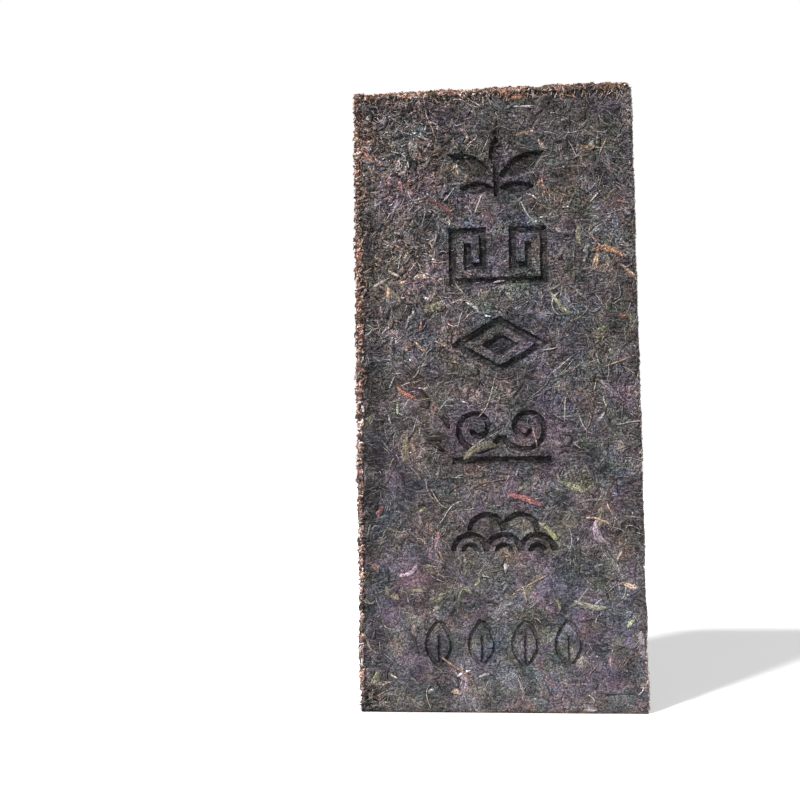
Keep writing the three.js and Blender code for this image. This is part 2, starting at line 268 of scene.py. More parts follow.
def wave_scales():
    """Two rows of arches, small ones inside the lower row."""
    foot = -MARK_HALF[1] + 2
    radius = MARK_HALF[0] / 3
    for i in (-2, 0, 2):
        yield [arch((i * radius, foot), radius, MARK_STROKE * 0.8)]
        yield [arch((i * radius, foot), radius * 0.4, MARK_STROKE * 0.7)]
    for i in (-1, 1):
        yield [arch((i * radius, foot + radius * 1.2), radius, MARK_STROKE * 0.8)]


def row_leaf():
    """A pointed leaf drawn by its edge and its middle vein."""
    half_width, half_height = ROW_LEAF
    for side in (-1, 1):
        pull = (side * half_width * 1.9, -half_height * 0.1)
        yield [stroke(curve((0, -half_height), pull, (0, half_height)), ROW_STROKE)]
    yield [line((0, -half_height * 1.1), (0, half_height * 0.35), ROW_STROKE * 0.8)]


ORNAMENTS = (tea_sprig, meander, lozenge, cloud_scroll, wave_scales)


def all_marks():
    """Every mark as its place on the face and its outlines; the second outline of a mark is a hole in it."""
    for row, ornament in enumerate(ORNAMENTS):
        for outlines in ornament():
            yield np.array((MARK_X, MARK_TOP - row * MARK_PITCH)), outlines
    for i in range(ROW_COUNT):
        for outlines in row_leaf():
            yield np.array((ROW_X + (i - (ROW_COUNT - 1) / 2) * ROW_PITCH, ROW_Z)), outlines


def distance_inside(points, outlines):
    """How far each point lies inside the outlines, or outside them as a negative number."""
    nearest = np.full(len(points), np.inf)
    inside = np.zeros(len(points), bool)
    for outline in outlines:
        for start, end in zip(outline, np.roll(outline, -1, axis=0)):
            edge = end - start
            share = np.clip((points - start) @ edge / (edge @ edge), 0, 1)
            nearest = np.minimum(nearest, np.linalg.norm(points - start - share[:, None] * edge, axis=1))
            spans = (start[1] > points[:, 1]) != (end[1] > points[:, 1])
            rise = np.where(edge[1] == 0, 1, edge[1])
            crossing = start[0] + edge[0] * (points[:, 1] - start[1]) / rise
            inside ^= spans & (points[:, 0] < crossing)
    return np.where(inside, nearest, -nearest)


class MarkMap:
    """A map of the marked face that holds, at each place, how far it lies inside a mark."""

    FAR = -4.0

    def __init__(self):
        across = int(SLAB_SIZE[0] / MAP_STEP) + 1
        up = int(SLAB_SIZE[2] / MAP_STEP) + 1
        self.inside = np.full((up, across), self.FAR)
        for place, outlines in all_marks():
            self.draw(place, outlines)

    def draw(self, place, outlines):
        points = np.concatenate(outlines) + place
        margin = 2
        first = self.cell(points.min(0) - margin)
        last = self.cell(points.max(0) + margin) + 1
        cols, rows = np.meshgrid(np.arange(first[0], last[0]), np.arange(first[1], last[1]))
        u = cols.ravel() * MAP_STEP - SLAB_HALF[0]
        z = rows.ravel() * MAP_STEP
        wander = [flat_lumps(u, z, RAGGED_LENGTH, seed) for seed in (1, 2)]
        wander = RAGGED * np.column_stack(wander)
        depth = distance_inside(np.column_stack((u, z)) + wander - place, outlines)
        window = self.inside[first[1] : last[1], first[0] : last[0]]
        np.maximum(window, depth.reshape(window.shape), out=window)

    @staticmethod
    def cell(point):
        return ((point + (SLAB_HALF[0], 0)) / MAP_STEP).astype(int)

    def at(self, u, v):
        """How far each place on the face, given from its middle, lies inside a mark."""
        col = np.clip((u + SLAB_HALF[0]) / MAP_STEP, 0, self.inside.shape[1] - 1.001)
        row = np.clip((v + SLAB_HALF[2]) / MAP_STEP, 0, self.inside.shape[0] - 1.001)
        c, r = col.astype(int), row.astype(int)
        fc, fr = col - c, row - r
        lower = self.inside[r, c] * (1 - fc) + self.inside[r, c + 1] * fc
        upper = self.inside[r + 1, c] * (1 - fc) + self.inside[r + 1, c + 1] * fc
        return lower * (1 - fr) + upper * fr


marks = MarkMap()


def mark_depth(u, v):
    """How deep the marks are pressed at places on the marked face."""
    deepest = np.where(v + SLAB_HALF[2] < ROW_Z + MARK_PITCH / 2, ROW_DEPTH, MARK_DEPTH)
    return deepest * smooth(marks.at(u, v), 0, WALL)


# ---------------------------------------------------------------- the slab's surface


def rim_radius(box):
    """The radius of the rim near points of the box: wide and uneven towards the left and top of the face."""
    reach = np.maximum(-box[:, 0] / SLAB_HALF[0], box[:, 2] / SLAB_HALF[2])
    crumbled = smooth(reach, CRUMBLED_FROM, 1) * (box[:, 1] < 0) * smooth(box[:, 2] + SLAB_HALF[2], 0, 8)
    return (RIM + (CRUMBLED_RIM - RIM) * crumbled) * (1 + 0.35 * lumps(box, 9, 3))


def looseness(place):
    """0 on firmly pressed leaf, towards 1 in the crumbly part of the face."""
    away = np.linalg.norm((place - LOOSE_CORNER) / (1, 1, 1.9), axis=1)
    return 1 - smooth(away, 0, LOOSE_REACH)


def coarseness(height):
    """How coarse the leaf on the marked face is, from its smooth lower part up to 1."""
    return 0.33 + 0.67 * smooth(height, 0, 0.75 * SLAB_SIZE[2])


def brokenness(points, reach):
    """1 in the middle of the broken corner, and less further off, down to 0.37 at the reach."""
    return np.exp(-((np.linalg.norm(points - BROKEN_CORNER, axis=1) / reach) ** 2))


def dimness(points):
    """How much darker the leaf is along the face's left rim and in a band beside it, and the painted shade in
    the recess of the broken corner.
    """
    inwards = points[:, 0] + SLAB_HALF[0]
    coarse = coarseness(points[:, 2])
    rim_end = 2.4 + 2.6 * coarse
    rim = 0.75 * (1 - smooth(inwards, 0, 0.5 * rim_end)) * (1.15 - coarse)
    band = 0.7 * smooth(inwards, 0.7 * rim_end, 1.1 * rim_end) * (1 - smooth(inwards, *BAND_END))
    band = band * (0.8 + 0.5 * lumps(points, 9, 16)) * (1 - smooth(points[:, 2], *BAND_TOP))
    dim = np.maximum(rim, band) * smooth(points[:, 1], *DIM_DEPTH)
    # In the broken corner the dimming is painted shade in its recess.
    return np.clip(np.maximum(dim, brokenness(points, 1.5 * BROKEN_REACH)), 0, 0.9)


def hollows(box, out, fine):
    """How deep the surface lies under the mould's wall."""
    place = box + SLAB_MIDDLE
    on_face = np.abs(out[:, 1])
    on_side = 1 - on_face
    loose = looseness(place) * on_face
    depth = (0.3 + 0.45 * loose + 0.25 * on_side) * (0.5 + lumps(place, BROAD_DENT, 4))
    depth += (0.14 + 0.3 * loose) * lumps(place, SMALL_DENT, 5)
    layers = lumps(place, (11, 1.6, 19), 6) + 0.6 * lumps(place, (5, 0.8, 8), 7)
    depth += 0.4 * on_side * layers
    crumbly = smooth(lumps(place, CRUMBLY_LUMP, 8), 0.15, 0.6)
    reach = np.maximum(-box[:, 0] / SLAB_HALF[0], box[:, 2] / SLAB_HALF[2])
    rim = smooth(reach, CRUMBLED_FROM + 0.01, 0.99) * (box[:, 1] < 0)
    depth += (0.8 * rim + 0.5 * loose) * crumbly
    broken = brokenness(place, BROKEN_REACH) * (0.15 + 0.85 * on_face)
    depth += BROKEN_DEPTH * broken * (0.7 + 0.5 * lumps(place, 2.5, 9))
    if fine:
        fine_lumps = (0.13 + 0.1 * loose) * lumps(place, FINE_LUMP, 10)
        depth += fine_lumps + 0.12 * lumps(place, FINEST_LUMP, 11)
    return depth * (1 - smooth(-out[:, 2], 0.4, 0.9))


def on_slab(panel, u, v, fine=False):
    """Points of the slab's surface and the way out of it, at places given from a panel's middle.

    A place past the panel's edge goes on round the rim.
    """
    out = np.cross(panel.across, panel.up)
    past = np.maximum(np.abs(u) - panel.half_across, 0) + np.maximum(np.abs(v) - panel.half_up, 0)
    box = np.outer(np.clip(u, -panel.half_across, panel.half_across), panel.across)
    box += np.outer(np.clip(v, -panel.half_up, panel.half_up), panel.up)
    box += np.outer(np.abs(out @ SLAB_HALF) - past, out)
    rim = rim_radius(box)[:, None]
    inner = np.clip(box, rim - SLAB_HALF, SLAB_HALF - rim)
    away = box - inner
    away /= np.maximum(np.linalg.norm(away, axis=1, keepdims=True), 1e-9)
    depth = hollows(box, away, fine)
    if panel is MARKED_FACE:
        depth += mark_depth(u, v)
    points = SLAB_MIDDLE + inner + away * (rim - depth[:, None])
    # The end that the brick stands on is flat right up to its rim.
    points[box[:, 2] <= -SLAB_HALF[2], 2] = 0
    return points, away


def crowded_lines(half, count, zones):
    """Places from -half to half, closer together inside the zones."""
    fine = np.linspace(-half, half, 4000)
    density = np.full(len(fine), PLAIN_DENSITY)
    for start, end in zones:
        density[(fine > start) & (fine < end)] = 1
    total = np.concatenate(((0,), np.cumsum((density[1:] + density[:-1]) / 2)))
    return np.interp(np.linspace(0, total[-1], count), total, fine)


def grid_lines():
    """The slab's grid lines across, through and up, crowded where the marks are."""
    spans = [(MARK_TOP - row * MARK_PITCH, COLUMN_SPAN) for row in range(len(ORNAMENTS))]
    spans.append((ROW_Z, ROW_SPAN))
    up_zones = [(z + start - SLAB_HALF[2], z + end - SLAB_HALF[2]) for z, (start, end) in spans]
    return {
        "across": crowded_lines(SLAB_HALF[0], GRID_LINES["across"], [GRID_ACROSS]),
        "through": crowded_lines(SLAB_HALF[1], GRID_LINES["through"], []),
        "up": crowded_lines(SLAB_HALF[2], GRID_LINES["up"], up_zones),
    }


def snapped_to_marks(u, v):
    """Grid points moved a little, so that rows of them lie along the top and the foot of each mark's wall."""
    step = 0.2
    inside = marks.at(u, v)
    slope_u = (marks.at(u + step, v) - marks.at(u - step, v)) / (2 * step)
    slope_v = (marks.at(u, v + step) - marks.at(u, v - step)) / (2 * step)
    steepness = np.maximum(slope_u**2 + slope_v**2, 0.2)
    target = np.where(inside < WALL / 2, 0, WALL)
    near = (inside > -SNAP_REACH) & (inside < WALL + SNAP_REACH)
    move = np.where(near, target - inside, 0) / steepness
    return u + move * slope_u, v + move * slope_v


def flat_grid(u_lines, v_lines):
    """The places and quads of a plain grid."""
    u, v = (grid.ravel() for grid in np.meshgrid(u_lines, v_lines))
    index = np.arange(len(u)).reshape(len(v_lines), len(u_lines))
    quads = np.stack((index[:-1, :-1], index[:-1, 1:], index[1:, 1:], index[1:, :-1]), axis=-1)
    return u, v, quads.reshape(-1, 4)


def refined_grid(u_lines, v_lines):
    """The places and triangles of a grid that is twice as fine where a mark's wall runs."""
    u, v, quads = flat_grid(u_lines, v_lines)
    flat = bpy.data.meshes.new("flat grid")
    flat.from_pydata(np.column_stack((u, v, 0 * u)), (), quads)
    grid = bmesh.new()
    grid.from_mesh(flat)
    middles = np.array([(edge.verts[0].co + edge.verts[1].co)[:2] for edge in grid.edges]) / 2
    inside = marks.at(middles[:, 0], middles[:, 1])
    near = (inside > -WALL_REACH) & (inside < WALL + WALL_REACH)
    walls = [edge for edge, is_near in zip(grid.edges, near) if is_near]
    bmesh.ops.subdivide_edges(grid, edges=walls, cuts=1, use_grid_fill=True)
    bmesh.ops.triangulate(grid, faces=grid.faces)
    grid.verts.index_update()
    places = np.array([vertex.co[:2] for vertex in grid.verts])
    triangles = np.array([[vertex.index for vertex in face.verts] for face in grid.faces])
    grid.free()
    bpy.data.meshes.remove(flat)
    return places[:, 0], places[:, 1], triangles


def slab_panel(panel, u_lines, v_lines):
    """The points and triangles of one side of the slab."""
    if panel is MARKED_FACE:
        u, v, triangles = refined_grid(u_lines, v_lines)
        u, v = snapped_to_marks(u, v)
    else:
        u, v, quads = flat_grid(u_lines, v_lines)
        triangles = np.concatenate((quads[:, (0, 1, 2)], quads[:, (0, 2, 3)]))
    return on_slab(panel, u, v, fine=True)[0], triangles


# ---------------------------------------------------------------- meshes


def placed(name, data):
    """An object in the scene."""
    holder = bpy.data.objects.new(name, data)
    bpy.context.scene.collection.objects.link(holder)
    return holder


def mesh_piece(name, points, faces, surface, sharp_above=None):
    """An object of points, in millimetres, and faces; edges bent more than the angle given stay sharp."""
    mesh = bpy.data.meshes.new(name)
    count, corners = faces.shape
    mesh.vertices.add(len(points))
    mesh.vertices.foreach_set("co", (points * MM).astype(np.float32).ravel())
    mesh.loops.add(count * corners)
    mesh.loops.foreach_set("vertex_index", faces.astype(np.int32).ravel())
    mesh.polygons.add(count)
    mesh.polygons.foreach_set("loop_start", np.arange(0, count * corners, corners, dtype=np.int32))
    mesh.update(calc_edges=True)
    mesh.validate()
    mesh.shade_smooth()
    if sharp_above is not None:
        mesh.set_sharp_from_angle(angle=sharp_above)
    mesh.materials.append(surface)
    return placed(name, mesh)


def paint(piece, name, colors):
    """Gives each point of a piece a colour."""
    attribute = piece.data.color_attributes.new(name, "FLOAT_COLOR", "POINT")
    rgba = np.column_stack((colors, np.ones(len(colors)))).astype(np.float32)
    attribute.data.foreach_set("color", rgba.ravel())


def many(faces, points_each, count):
    """The faces of one small thing, repeated for each of them."""
    shift = np.arange(count)[:, None, None] * points_each
    return (faces[None] + shift).reshape(-1, faces.shape[1])


def above_floor(batch):
    """The things of a batch that don't reach below the end that the brick stands on."""
    above = batch.points[:, :, 2].min(1) > 0
    return Batch(*(part if part is None else part[above] for part in batch))


def many_piece(name, batches, faces, surface, sharp_above=None):
    """One piece of many small things that share their faces, each painted with its own tint."""
    batches = [above_floor(batch) for batch in batches]
    points = np.concatenate([batch.points for batch in batches])
    tints = np.concatenate([batch.tints for batch in batches])
    count, points_each, _ = points.shape
    piece = mesh_piece(name, points.reshape(-1, 3), many(faces, points_each, count), surface, sharp_above)
    paint(piece, "tint", np.repeat(tints, points_each, axis=0))
    return piece


# ---------------------------------------------------------------- tints and places

TINTS = {
    "slate": linear(78, 74, 77),
    "blue": linear(73, 74, 81),
    "teal": linear(72, 77, 77),
    "purple": linear(83, 74, 80),
    "brown": linear(86, 77, 74),
    "dark": linear(42, 36, 37),
    "olive": linear(82, 80, 72),
    "green": linear(104, 104, 86),
    "yellow": linear(124, 119, 92),
    "rust": linear(112, 82, 69),
    "orange": linear(142, 103, 80),
    "red": linear(132, 84, 82),
    "pink": linear(150, 124, 120),
    "tan": linear(150, 127, 110),
    "cream": linear(186, 172, 157),
    "mist": linear(108, 103, 106),
    "ash": linear(142, 135, 136),
}
LIGHTEST = 0.55  # no small thing is lighter than this
DARK_LEAF = {"slate": 30, "blue": 14, "teal": 10, "purple": 18, "brown": 18, "dark": 5, "olive": 7}
MIXED_LEAF = {"slate": 38, "purple": 12, "brown": 18, "dark": 9, "olive": 5, "mist": 17, "ash": 2, "tan": 2}
TOP_LEAF = {"tan": 30, "rust": 20, "cream": 22, "orange": 8, "pink": 10, "dark": 10}
PALE_LEAF = {"green": 28, "tan": 12, "mist": 30, "yellow": 8, "brown": 14, "pink": 3, "red": 3, "orange": 3}
LOOSE_LEAF = {"brown": 24, "slate": 12, "mist": 18, "pink": 10, "tan": 14, "rust": 4, "dark": 12, "ash": 6}
RIM_LEAF = {"rust": 24, "orange": 5, "tan": 22, "dark": 24, "pink": 14, "cream": 11}
RIM_CRUMB = {"rust": 30, "dark": 38, "tan": 16, "pink": 10, "cream": 6}
EDGE_CRUMB = {"mist": 44, "slate": 30, "ash": 18, "cream": 8}
STEM = {"tan": 18, "pink": 14, "brown": 26, "mist": 24, "cream": 5, "dark": 8}
FIBRE = {"mist": 32, "ash": 38, "slate": 8, "pink": 7, "tan": 6, "cream": 9}
CURL = {"ash": 42, "mist": 20, "pink": 12, "tan": 7, "cream": 17, "brown": 2}
LOOSE_CURL = {"ash": 22, "pink": 26, "tan": 22, "cream": 24, "orange": 6}
GRANULE = {"slate": 48, "purple": 8, "dark": 18, "mist": 20, "ash": 6}


def tinted(tints, count, spread):
    """A colour for each thing, a little lighter or darker than its tint.

    The tints are a list of their names, one for each thing, or a share for each name.
    """
    names = tints
    if isinstance(tints, dict):
        weights = np.array(list(tints.values()), float)
        names = rng.choice(list(tints), count, p=weights / weights.sum())
    colors = np.array([TINTS[name] for name in names]) * np.exp(rng.normal(0, spread, (count, 1)))
    return np.minimum(colors, LIGHTEST)


def spread_places(panel, count, margin=0.0):
    """Places spread evenly over a panel, each moved a little at random, and in no order."""
    half = np.array((panel.half_across, panel.half_up)) - margin
    cell = math.sqrt(4 * half[0] * half[1] / count)
    cols, rows = (max(1, round(2 * h / cell)) for h in half)
    u, v = np.meshgrid(np.arange(cols) + 0.5, np.arange(rows) + 0.5)
    places = np.column_stack((u.ravel() / cols, v.ravel() / rows)) * 2 - 1
    places += rng.uniform(-1, 1, places.shape) / (cols, rows)
    return rng.permutation(places * half)


def loose_places(count, closeness=1):
    """Places on the marked face, more of them the looser the leaf, and closer together there if asked."""
    places = spread_places(MARKED_FACE, count * 12)
    depth = np.full(len(places), -SLAB_HALF[1])
    loose = looseness(np.column_stack((places[:, 0], depth, places[:, 1] + SLAB_HALF[2])))
    return places[rng.uniform(0, 1, len(places)) < loose**closeness][:count]


def thinned(places):
    """Places on the marked face, fewer of them in calm patches and where the leaf is smooth, at the foot."""
    calm = smooth(flat_lumps(places[:, 0], places[:, 1], 15, 17), -0.1, 0.35)
    share = coarseness(places[:, 1] + SLAB_HALF[2]) * (1.15 - 0.75 * calm)
    return places[rng.uniform(0, 1, len(places)) < share]


def bundled(middles, each, gap):
    """Places and angles of things that lie side by side round each middle, as the veins of a torn leaf do."""
    angles = rng.uniform(0, 2 * math.pi, (len(middles), 1))
    aside = (np.arange(each) - (each - 1) / 2) * gap * rng.uniform(0.6, 1.4, (len(middles), each))
    along = rng.normal(0, 2 * gap, aside.shape)
    u = middles[:, :1] + np.cos(angles) * along - np.sin(angles) * aside
    v = middles[:, 1:] + np.sin(angles) * along + np.cos(angles) * aside
    angles = angles + rng.normal(0, 0.12, aside.shape)
    return np.column_stack((u.ravel(), v.ravel())), angles.ravel()


def laid(noted):
    """The places, angles, lengths, sizes and tints of the things in a list of what stands out."""
    starts, ends, sizes, tints = zip(*noted)
    start, end = np.array(starts, float), np.array(ends, float)
    way = end - start
    places = (start + end) / 2 - (0, SLAB_HALF[2])
    return places, np.arctan2(way[:, 1], way[:, 0]), np.linalg.norm(way, axis=1), np.array(sizes), tints


def rim_places(rim, count, reach):
    """Places along a rim of the marked face, as far in as the reach says, and nearer to it at the foot."""
    inwards = rng.uniform(*reach, count)
    share = (np.arange(count) + rng.uniform(0, 1, count)) / count * 2 - 1
    if rim == "top":
        return np.column_stack((share * SLAB_HALF[0], SLAB_HALF[2] - inwards))
    inwards *= coarseness((1 + share) * SLAB_HALF[2])
    side = -1 if rim == "left" else 1
    return np.column_stack((side * (SLAB_HALF[0] - inwards), share * SLAB_HALF[2]))


def clear_of_walls(panel, u, v):
    """Which things, each given by several places, lie clear of the walls of the marks."""
    if panel is not MARKED_FACE:
        return np.full(len(u), True)
    inside = marks.at(u.ravel(), v.ravel()).reshape(len(u), -1)
    return (inside.max(1) < 0) | (inside.min(1) > WALL)


def log_uniform(low, high, count):
    """Sizes drawn between two sizes, with as many under their geometric middle as over it."""
    return low * (high / low) ** rng.uniform(0, 1, count)


# ---------------------------------------------------------------- leaf scraps, stems, fibres and crumbs

Batch = namedtuple("Batch", "points tints leaf_map", defaults=(None,))

# What a kind of small thing is drawn from; a pair is a smallest and a largest value. A scrap's slimness is
# its length over its width. Lift is how high a thing lies, dip how far it winds up and down, and spread how
# far its tints vary.
Scraps = namedtuple("Scraps", "length slimness lift tilt tints spread")
Strands = namedtuple("Strands", "length radius curl lift dip tints spread")
Crumbs = namedtuple("Crumbs", "size lift tints spread")
Tube = namedtuple("Tube", "steps sides")

SCRAP_THICKNESS = 0.25
STRAND_FLATNESS = 0.8  # a strand's height over its width
STRETCH = np.array((1, 1, 2.0))  # crumbs are longer one way


def highest(out, most):
    """How high things may stand, from the way out under them: less over the two faces than past the rims."""
    return np.minimum(most, OVER_FACE / np.maximum(np.abs(out[:, 1]), 0.1))


def sheet_quads(rows, cols):
    """The quads of a closed thin sheet: its top grid, its bottom grid and the rim between them."""
    top = np.arange(rows * cols).reshape(rows, cols)
    bottom = top + rows * cols
    upper = np.stack((top[:-1, :-1], top[1:, :-1], top[1:, 1:], top[:-1, 1:]), axis=-1)
    lower = np.stack((bottom[:-1, :-1], bottom[:-1, 1:], bottom[1:, 1:], bottom[1:, :-1]), axis=-1)
    border = np.concatenate((top[:-1, 0], top[-1, :-1], top[:0:-1, -1], top[0, :0:-1]))
    after = np.roll(border, -1)
    rim = np.stack((border, border + rows * cols, after + rows * cols, after), axis=-1)
    return np.concatenate((upper.reshape(-1, 4), lower.reshape(-1, 4), rim))


def leaf_scraps(panel, places, kind, cells, angles=None):
    """Thin torn scraps of leaf lying on a panel; those that would bridge a mark's wall are left out."""
    count = len(places)
    lengths = log_uniform(*kind.length, count)
    widths = lengths / log_uniform(*kind.slimness, count)
    angles = rng.uniform(0, 2 * math.pi, count) if angles is None else angles
    rows, cols = cells
    s = np.linspace(-1, 1, rows)[None, :, None]
    t = np.linspace(-1, 1, cols)[None, None, :]
    pointed = rng.uniform(1.3, 4, (count, 1, 1))
    torn = 1 + rng.uniform(-0.5, 0.35, (count, rows, 2))
    torn[:, 1:-1] = (torn[:, :-2] + 2 * torn[:, 1:-1] + torn[:, 2:]) / 4
    side = np.where(t < 0, torn[:, :, :1], torn[:, :, 1:])
    half_width = widths[:, None, None] / 2 * (0.06 + (1 - np.abs(s) ** pointed) ** 0.7) * side
    bow = rng.normal(0, 0.1, (count, 1, 1)) * lengths[:, None, None] * (1 - s**2)
    along = lengths[:, None, None] / 2 * s + 0 * half_width
    across = bow + t * half_width
    cos, sin = np.cos(angles)[:, None, None], np.sin(angles)[:, None, None]
    u = places[:, 0, None, None] + cos * along - sin * across
    v = places[:, 1, None, None] + sin * along + cos * across
    points, out = on_slab(panel, u.ravel(), v.ravel())
    wave = 0.16 * lumps(points, 3.3, 12) + 0.1 * lumps(points, 1.5, 13)
    height = rng.uniform(*kind.lift, (count, 1, 1)) + wave.reshape(u.shape)
    if panel is MARKED_FACE and kind.lift[1] < FACE_PROUD:
        height = height * coarseness(places[:, 1, None, None] + SLAB_HALF[2])
    tilt_along, tilt_across = (rng.normal(0, kind.tilt, (count, 1, 1)) for _ in range(2))
    height += tilt_along * along + tilt_across * across
    height -= np.abs(rng.normal(0, 0.12, (count, 1, 1))) * np.abs(t * half_width)
    height = np.minimum(height.ravel(), highest(out, max(FACE_PROUD, kind.lift[1])))[:, None]
    faces = (points + out * height, points + out * (height - SCRAP_THICKNESS))
    sheets = np.concatenate([face.reshape(count, -1, 3) for face in faces], axis=1)
    leaf_map = np.broadcast_to(np.stack((s + 0 * t, t + 0 * s), axis=-1), (count, rows, cols, 2))
    dim = dimness(points.reshape(count, -1, 3).mean(1))
    colors = tinted(kind.tints, count, kind.spread) * (1 - dim)[:, None]
    clear = clear_of_walls(panel, u, v)
    return Batch(sheets[clear], colors[clear], leaf_map.reshape(count, -1, 2)[clear])


def scrap_piece(name, batches, cells, surface):
    """One piece of many leaf scraps, each painted with its tint and mapped along and across."""
    piece = many_piece(name, batches, sheet_quads(*cells), surface)
    one_face = np.concatenate([above_floor(batch).leaf_map for batch in batches])
    both_faces = np.concatenate((one_face, one_face), axis=1).reshape(-1, 2)
    corner = np.zeros(len(piece.data.loops), np.int32)
    piece.data.loops.foreach_get("vertex_index", corner)
    leaf_map = piece.data.uv_layers.new(name="leaf")
    leaf_map.uv.foreach_set("vector", (both_faces[corner] / 2 + 0.5).astype(np.float32).ravel())
    return piece


def tube_quads(tube):
    """The quads of a closed tube with an even number of sides: its wall, and a cap at each end."""
    steps, sides = tube
    ring = np.arange(sides)
    after = np.roll(ring, -1)
    walls = []
    for i in range(steps - 1):
        here, there = i * sides, (i + 1) * sides
        walls.append(np.stack((ring + here, after + here, after + there, ring + there), axis=-1))
    last = (steps - 1) * sides
    caps = []
    for i in range(1, sides - 1, 2):
        caps.append((0, i + 2, i + 1, i))
        caps.append((last, last + i, last + i + 1, last + i + 2))
    return np.concatenate((*walls, np.array(caps)))


def winding_paths(places, lengths, angles, steps, curl):
    """Places along paths that wind over a panel."""
    count = len(places)
    share = np.linspace(-0.5, 0.5, steps)[None]
    bend, twist = rng.normal(0, curl, (2, count, 1))
    heading = angles[:, None] + bend * share * 2 + twist * (share**2 - 0.08) * 4
    stride = lengths[:, None] / (steps - 1)
    u = places[:, :1] + np.cumsum(np.cos(heading), axis=1) * stride
    v = places[:, 1:] + np.cumsum(np.sin(heading), axis=1) * stride
    u += places[:, :1] - u.mean(1, keepdims=True)
    v += places[:, 1:] - v.mean(1, keepdims=True)
    return u, v


def tubes(paths, outs, radii, sides):
    """The points of slightly flat tubes round paths."""
    along = np.gradient(paths, axis=1)
    aside = np.cross(along, outs)
    aside /= np.maximum(np.linalg.norm(aside, axis=2, keepdims=True), 1e-9)
    angle = np.arange(sides) / sides * 2 * math.pi + math.pi / sides
    ring = np.cos(angle)[:, None] * aside[:, :, None]
    ring = ring + STRAND_FLATNESS * np.sin(angle)[:, None] * outs[:, :, None]
    return (paths[:, :, None] + ring * radii[:, :, None, None]).reshape(len(paths), -1, 3)


def strands(panel, places, kind, tube, angles=None):
    """Stems or fibres that wind over a panel, dipping in and out of the leaf, thinner at their ends."""
    count, steps = len(places), tube.steps
    lengths = log_uniform(*kind.length, count)
    angles = rng.uniform(0, 2 * math.pi, count) if angles is None else angles
    u, v = winding_paths(places, lengths, angles, steps, kind.curl)
    points, out = on_slab(panel, u.ravel(), v.ravel())
    share = np.linspace(-0.5, 0.5, steps)[None]
    wave = np.sin(share * rng.uniform(4, 12, (count, 1)) + rng.uniform(0, 2 * math.pi, (count, 1)))
    height = rng.uniform(*kind.lift, (count, 1)) + kind.dip * wave
    radii = log_uniform(*kind.radius, count)[:, None] * (1 - 0.55 * (2 * np.abs(share)) ** 3)
    radii = radii * rng.uniform(0.8, 1.15, (count, steps))
    height = np.minimum(height, FACE_PROUD - radii).ravel()[:, None]
    paths = (points + out * height).reshape(count, steps, 3)
    clear = clear_of_walls(panel, u, v)
    strand = tubes(paths, out.reshape(count, steps, 3), radii, tube.sides)
    colors = tinted(kind.tints, count, kind.spread) * (1 - 0.6 * dimness(paths.mean(1)))[:, None]
    return Batch(strand[clear], colors[clear])


def random_turns(count):
    """A random turn in space for each of a number of things, as matrices."""
    turns = rng.normal(0, 1, (4, count))
    w, x, y, z = turns / np.linalg.norm(turns, axis=0)
    rows = (
        (1 - 2 * (y * y + z * z), 2 * (x * y - w * z), 2 * (x * z + w * y)),
        (2 * (x * y + w * z), 1 - 2 * (x * x + z * z), 2 * (y * z - w * x)),
        (2 * (x * z - w * y), 2 * (y * z + w * x), 1 - 2 * (x * x + y * y)),
    )
    return np.array(rows).transpose(2, 0, 1)


# A crumb is a double pyramid: its corners on the axes, and its faces round the upper and the lower tip.
CRUMB_CORNERS = np.array(((1, 0, 0), (-1, 0, 0), (0, 1, 0), (0, -1, 0), (0, 0, 1), (0, 0, -1)))
UPPER_FACES = ((0, 2, 4), (2, 1, 4), (1, 3, 4), (3, 0, 4))
LOWER_FACES = ((2, 0, 5), (1, 2, 5), (3, 1, 5), (0, 3, 5))
CRUMB_FACES = np.array(UPPER_FACES + LOWER_FACES)


def crumbs(panel, places, kind):
    """Angular crumbs half sunk in a panel, each longer one way than the others."""
    count = len(places)
    points, out = on_slab(panel, places[:, 0], places[:, 1])
    points += out * np.minimum(rng.uniform(*kind.lift, count), highest(out, kind.lift[1]))[:, None]
    shape = CRUMB_CORNERS * log_uniform(*kind.size, count)[:, None, None]
    shape = shape * rng.uniform(0.6, 1.3, (count, len(CRUMB_CORNERS), 1)) * STRETCH
    shape = np.einsum("nij,nkj->nki", random_turns(count), shape)
    shape -= 0.45 * (shape @ out[:, :, None]) * out[:, None]
    colors = tinted(kind.tints, count, kind.spread) * (1 - dimness(points))[:, None]
    clear = clear_of_walls(panel, places[:, :1], places[:, 1:])
    return Batch((points[:, None] + shape)[clear], colors[clear])


# ---------------------------------------------------------------- shader tools


def add(tree, kind, inputs=None, **settings):
    """Adds a shader node, with its settings and its inputs set or linked."""
    node = tree.nodes.new("ShaderNode" + kind)
    for name, value in settings.items():
        setattr(node, name, value)
    for name, value in (inputs or {}).items():
        join(tree, value, node.inputs[name])
    return node


def join(tree, value, socket):
    """Links a socket to another, or sets it to a plain value."""
    if isinstance(value, bpy.types.NodeSocket):
        tree.links.new(value, socket)
    else:
        socket.default_value = value


def worked(tree, operation, first, second=0.0, third=0.0):
    """The value of a sum."""
    return add(tree, "Math", {0: first, 1: second, 2: third}, operation=operation).outputs[0]


def product(tree, first, *others):
    """Values multiplied."""
    for other in others:
        first = worked(tree, "MULTIPLY", first, other)
    return first


def mixed(tree, factor, first, second, blend="MIX"):
    """Two colours mixed."""
    node = add(tree, "Mix", {0: factor, 6: first, 7: second}, data_type="RGBA", blend_type=blend)
    return node.outputs[2]


def lit(tree, color, shade):
    """A colour made lighter or darker by a factor."""
    return add(tree, "VectorMath", {0: color, "Scale": shade}, operation="SCALE").outputs[0]


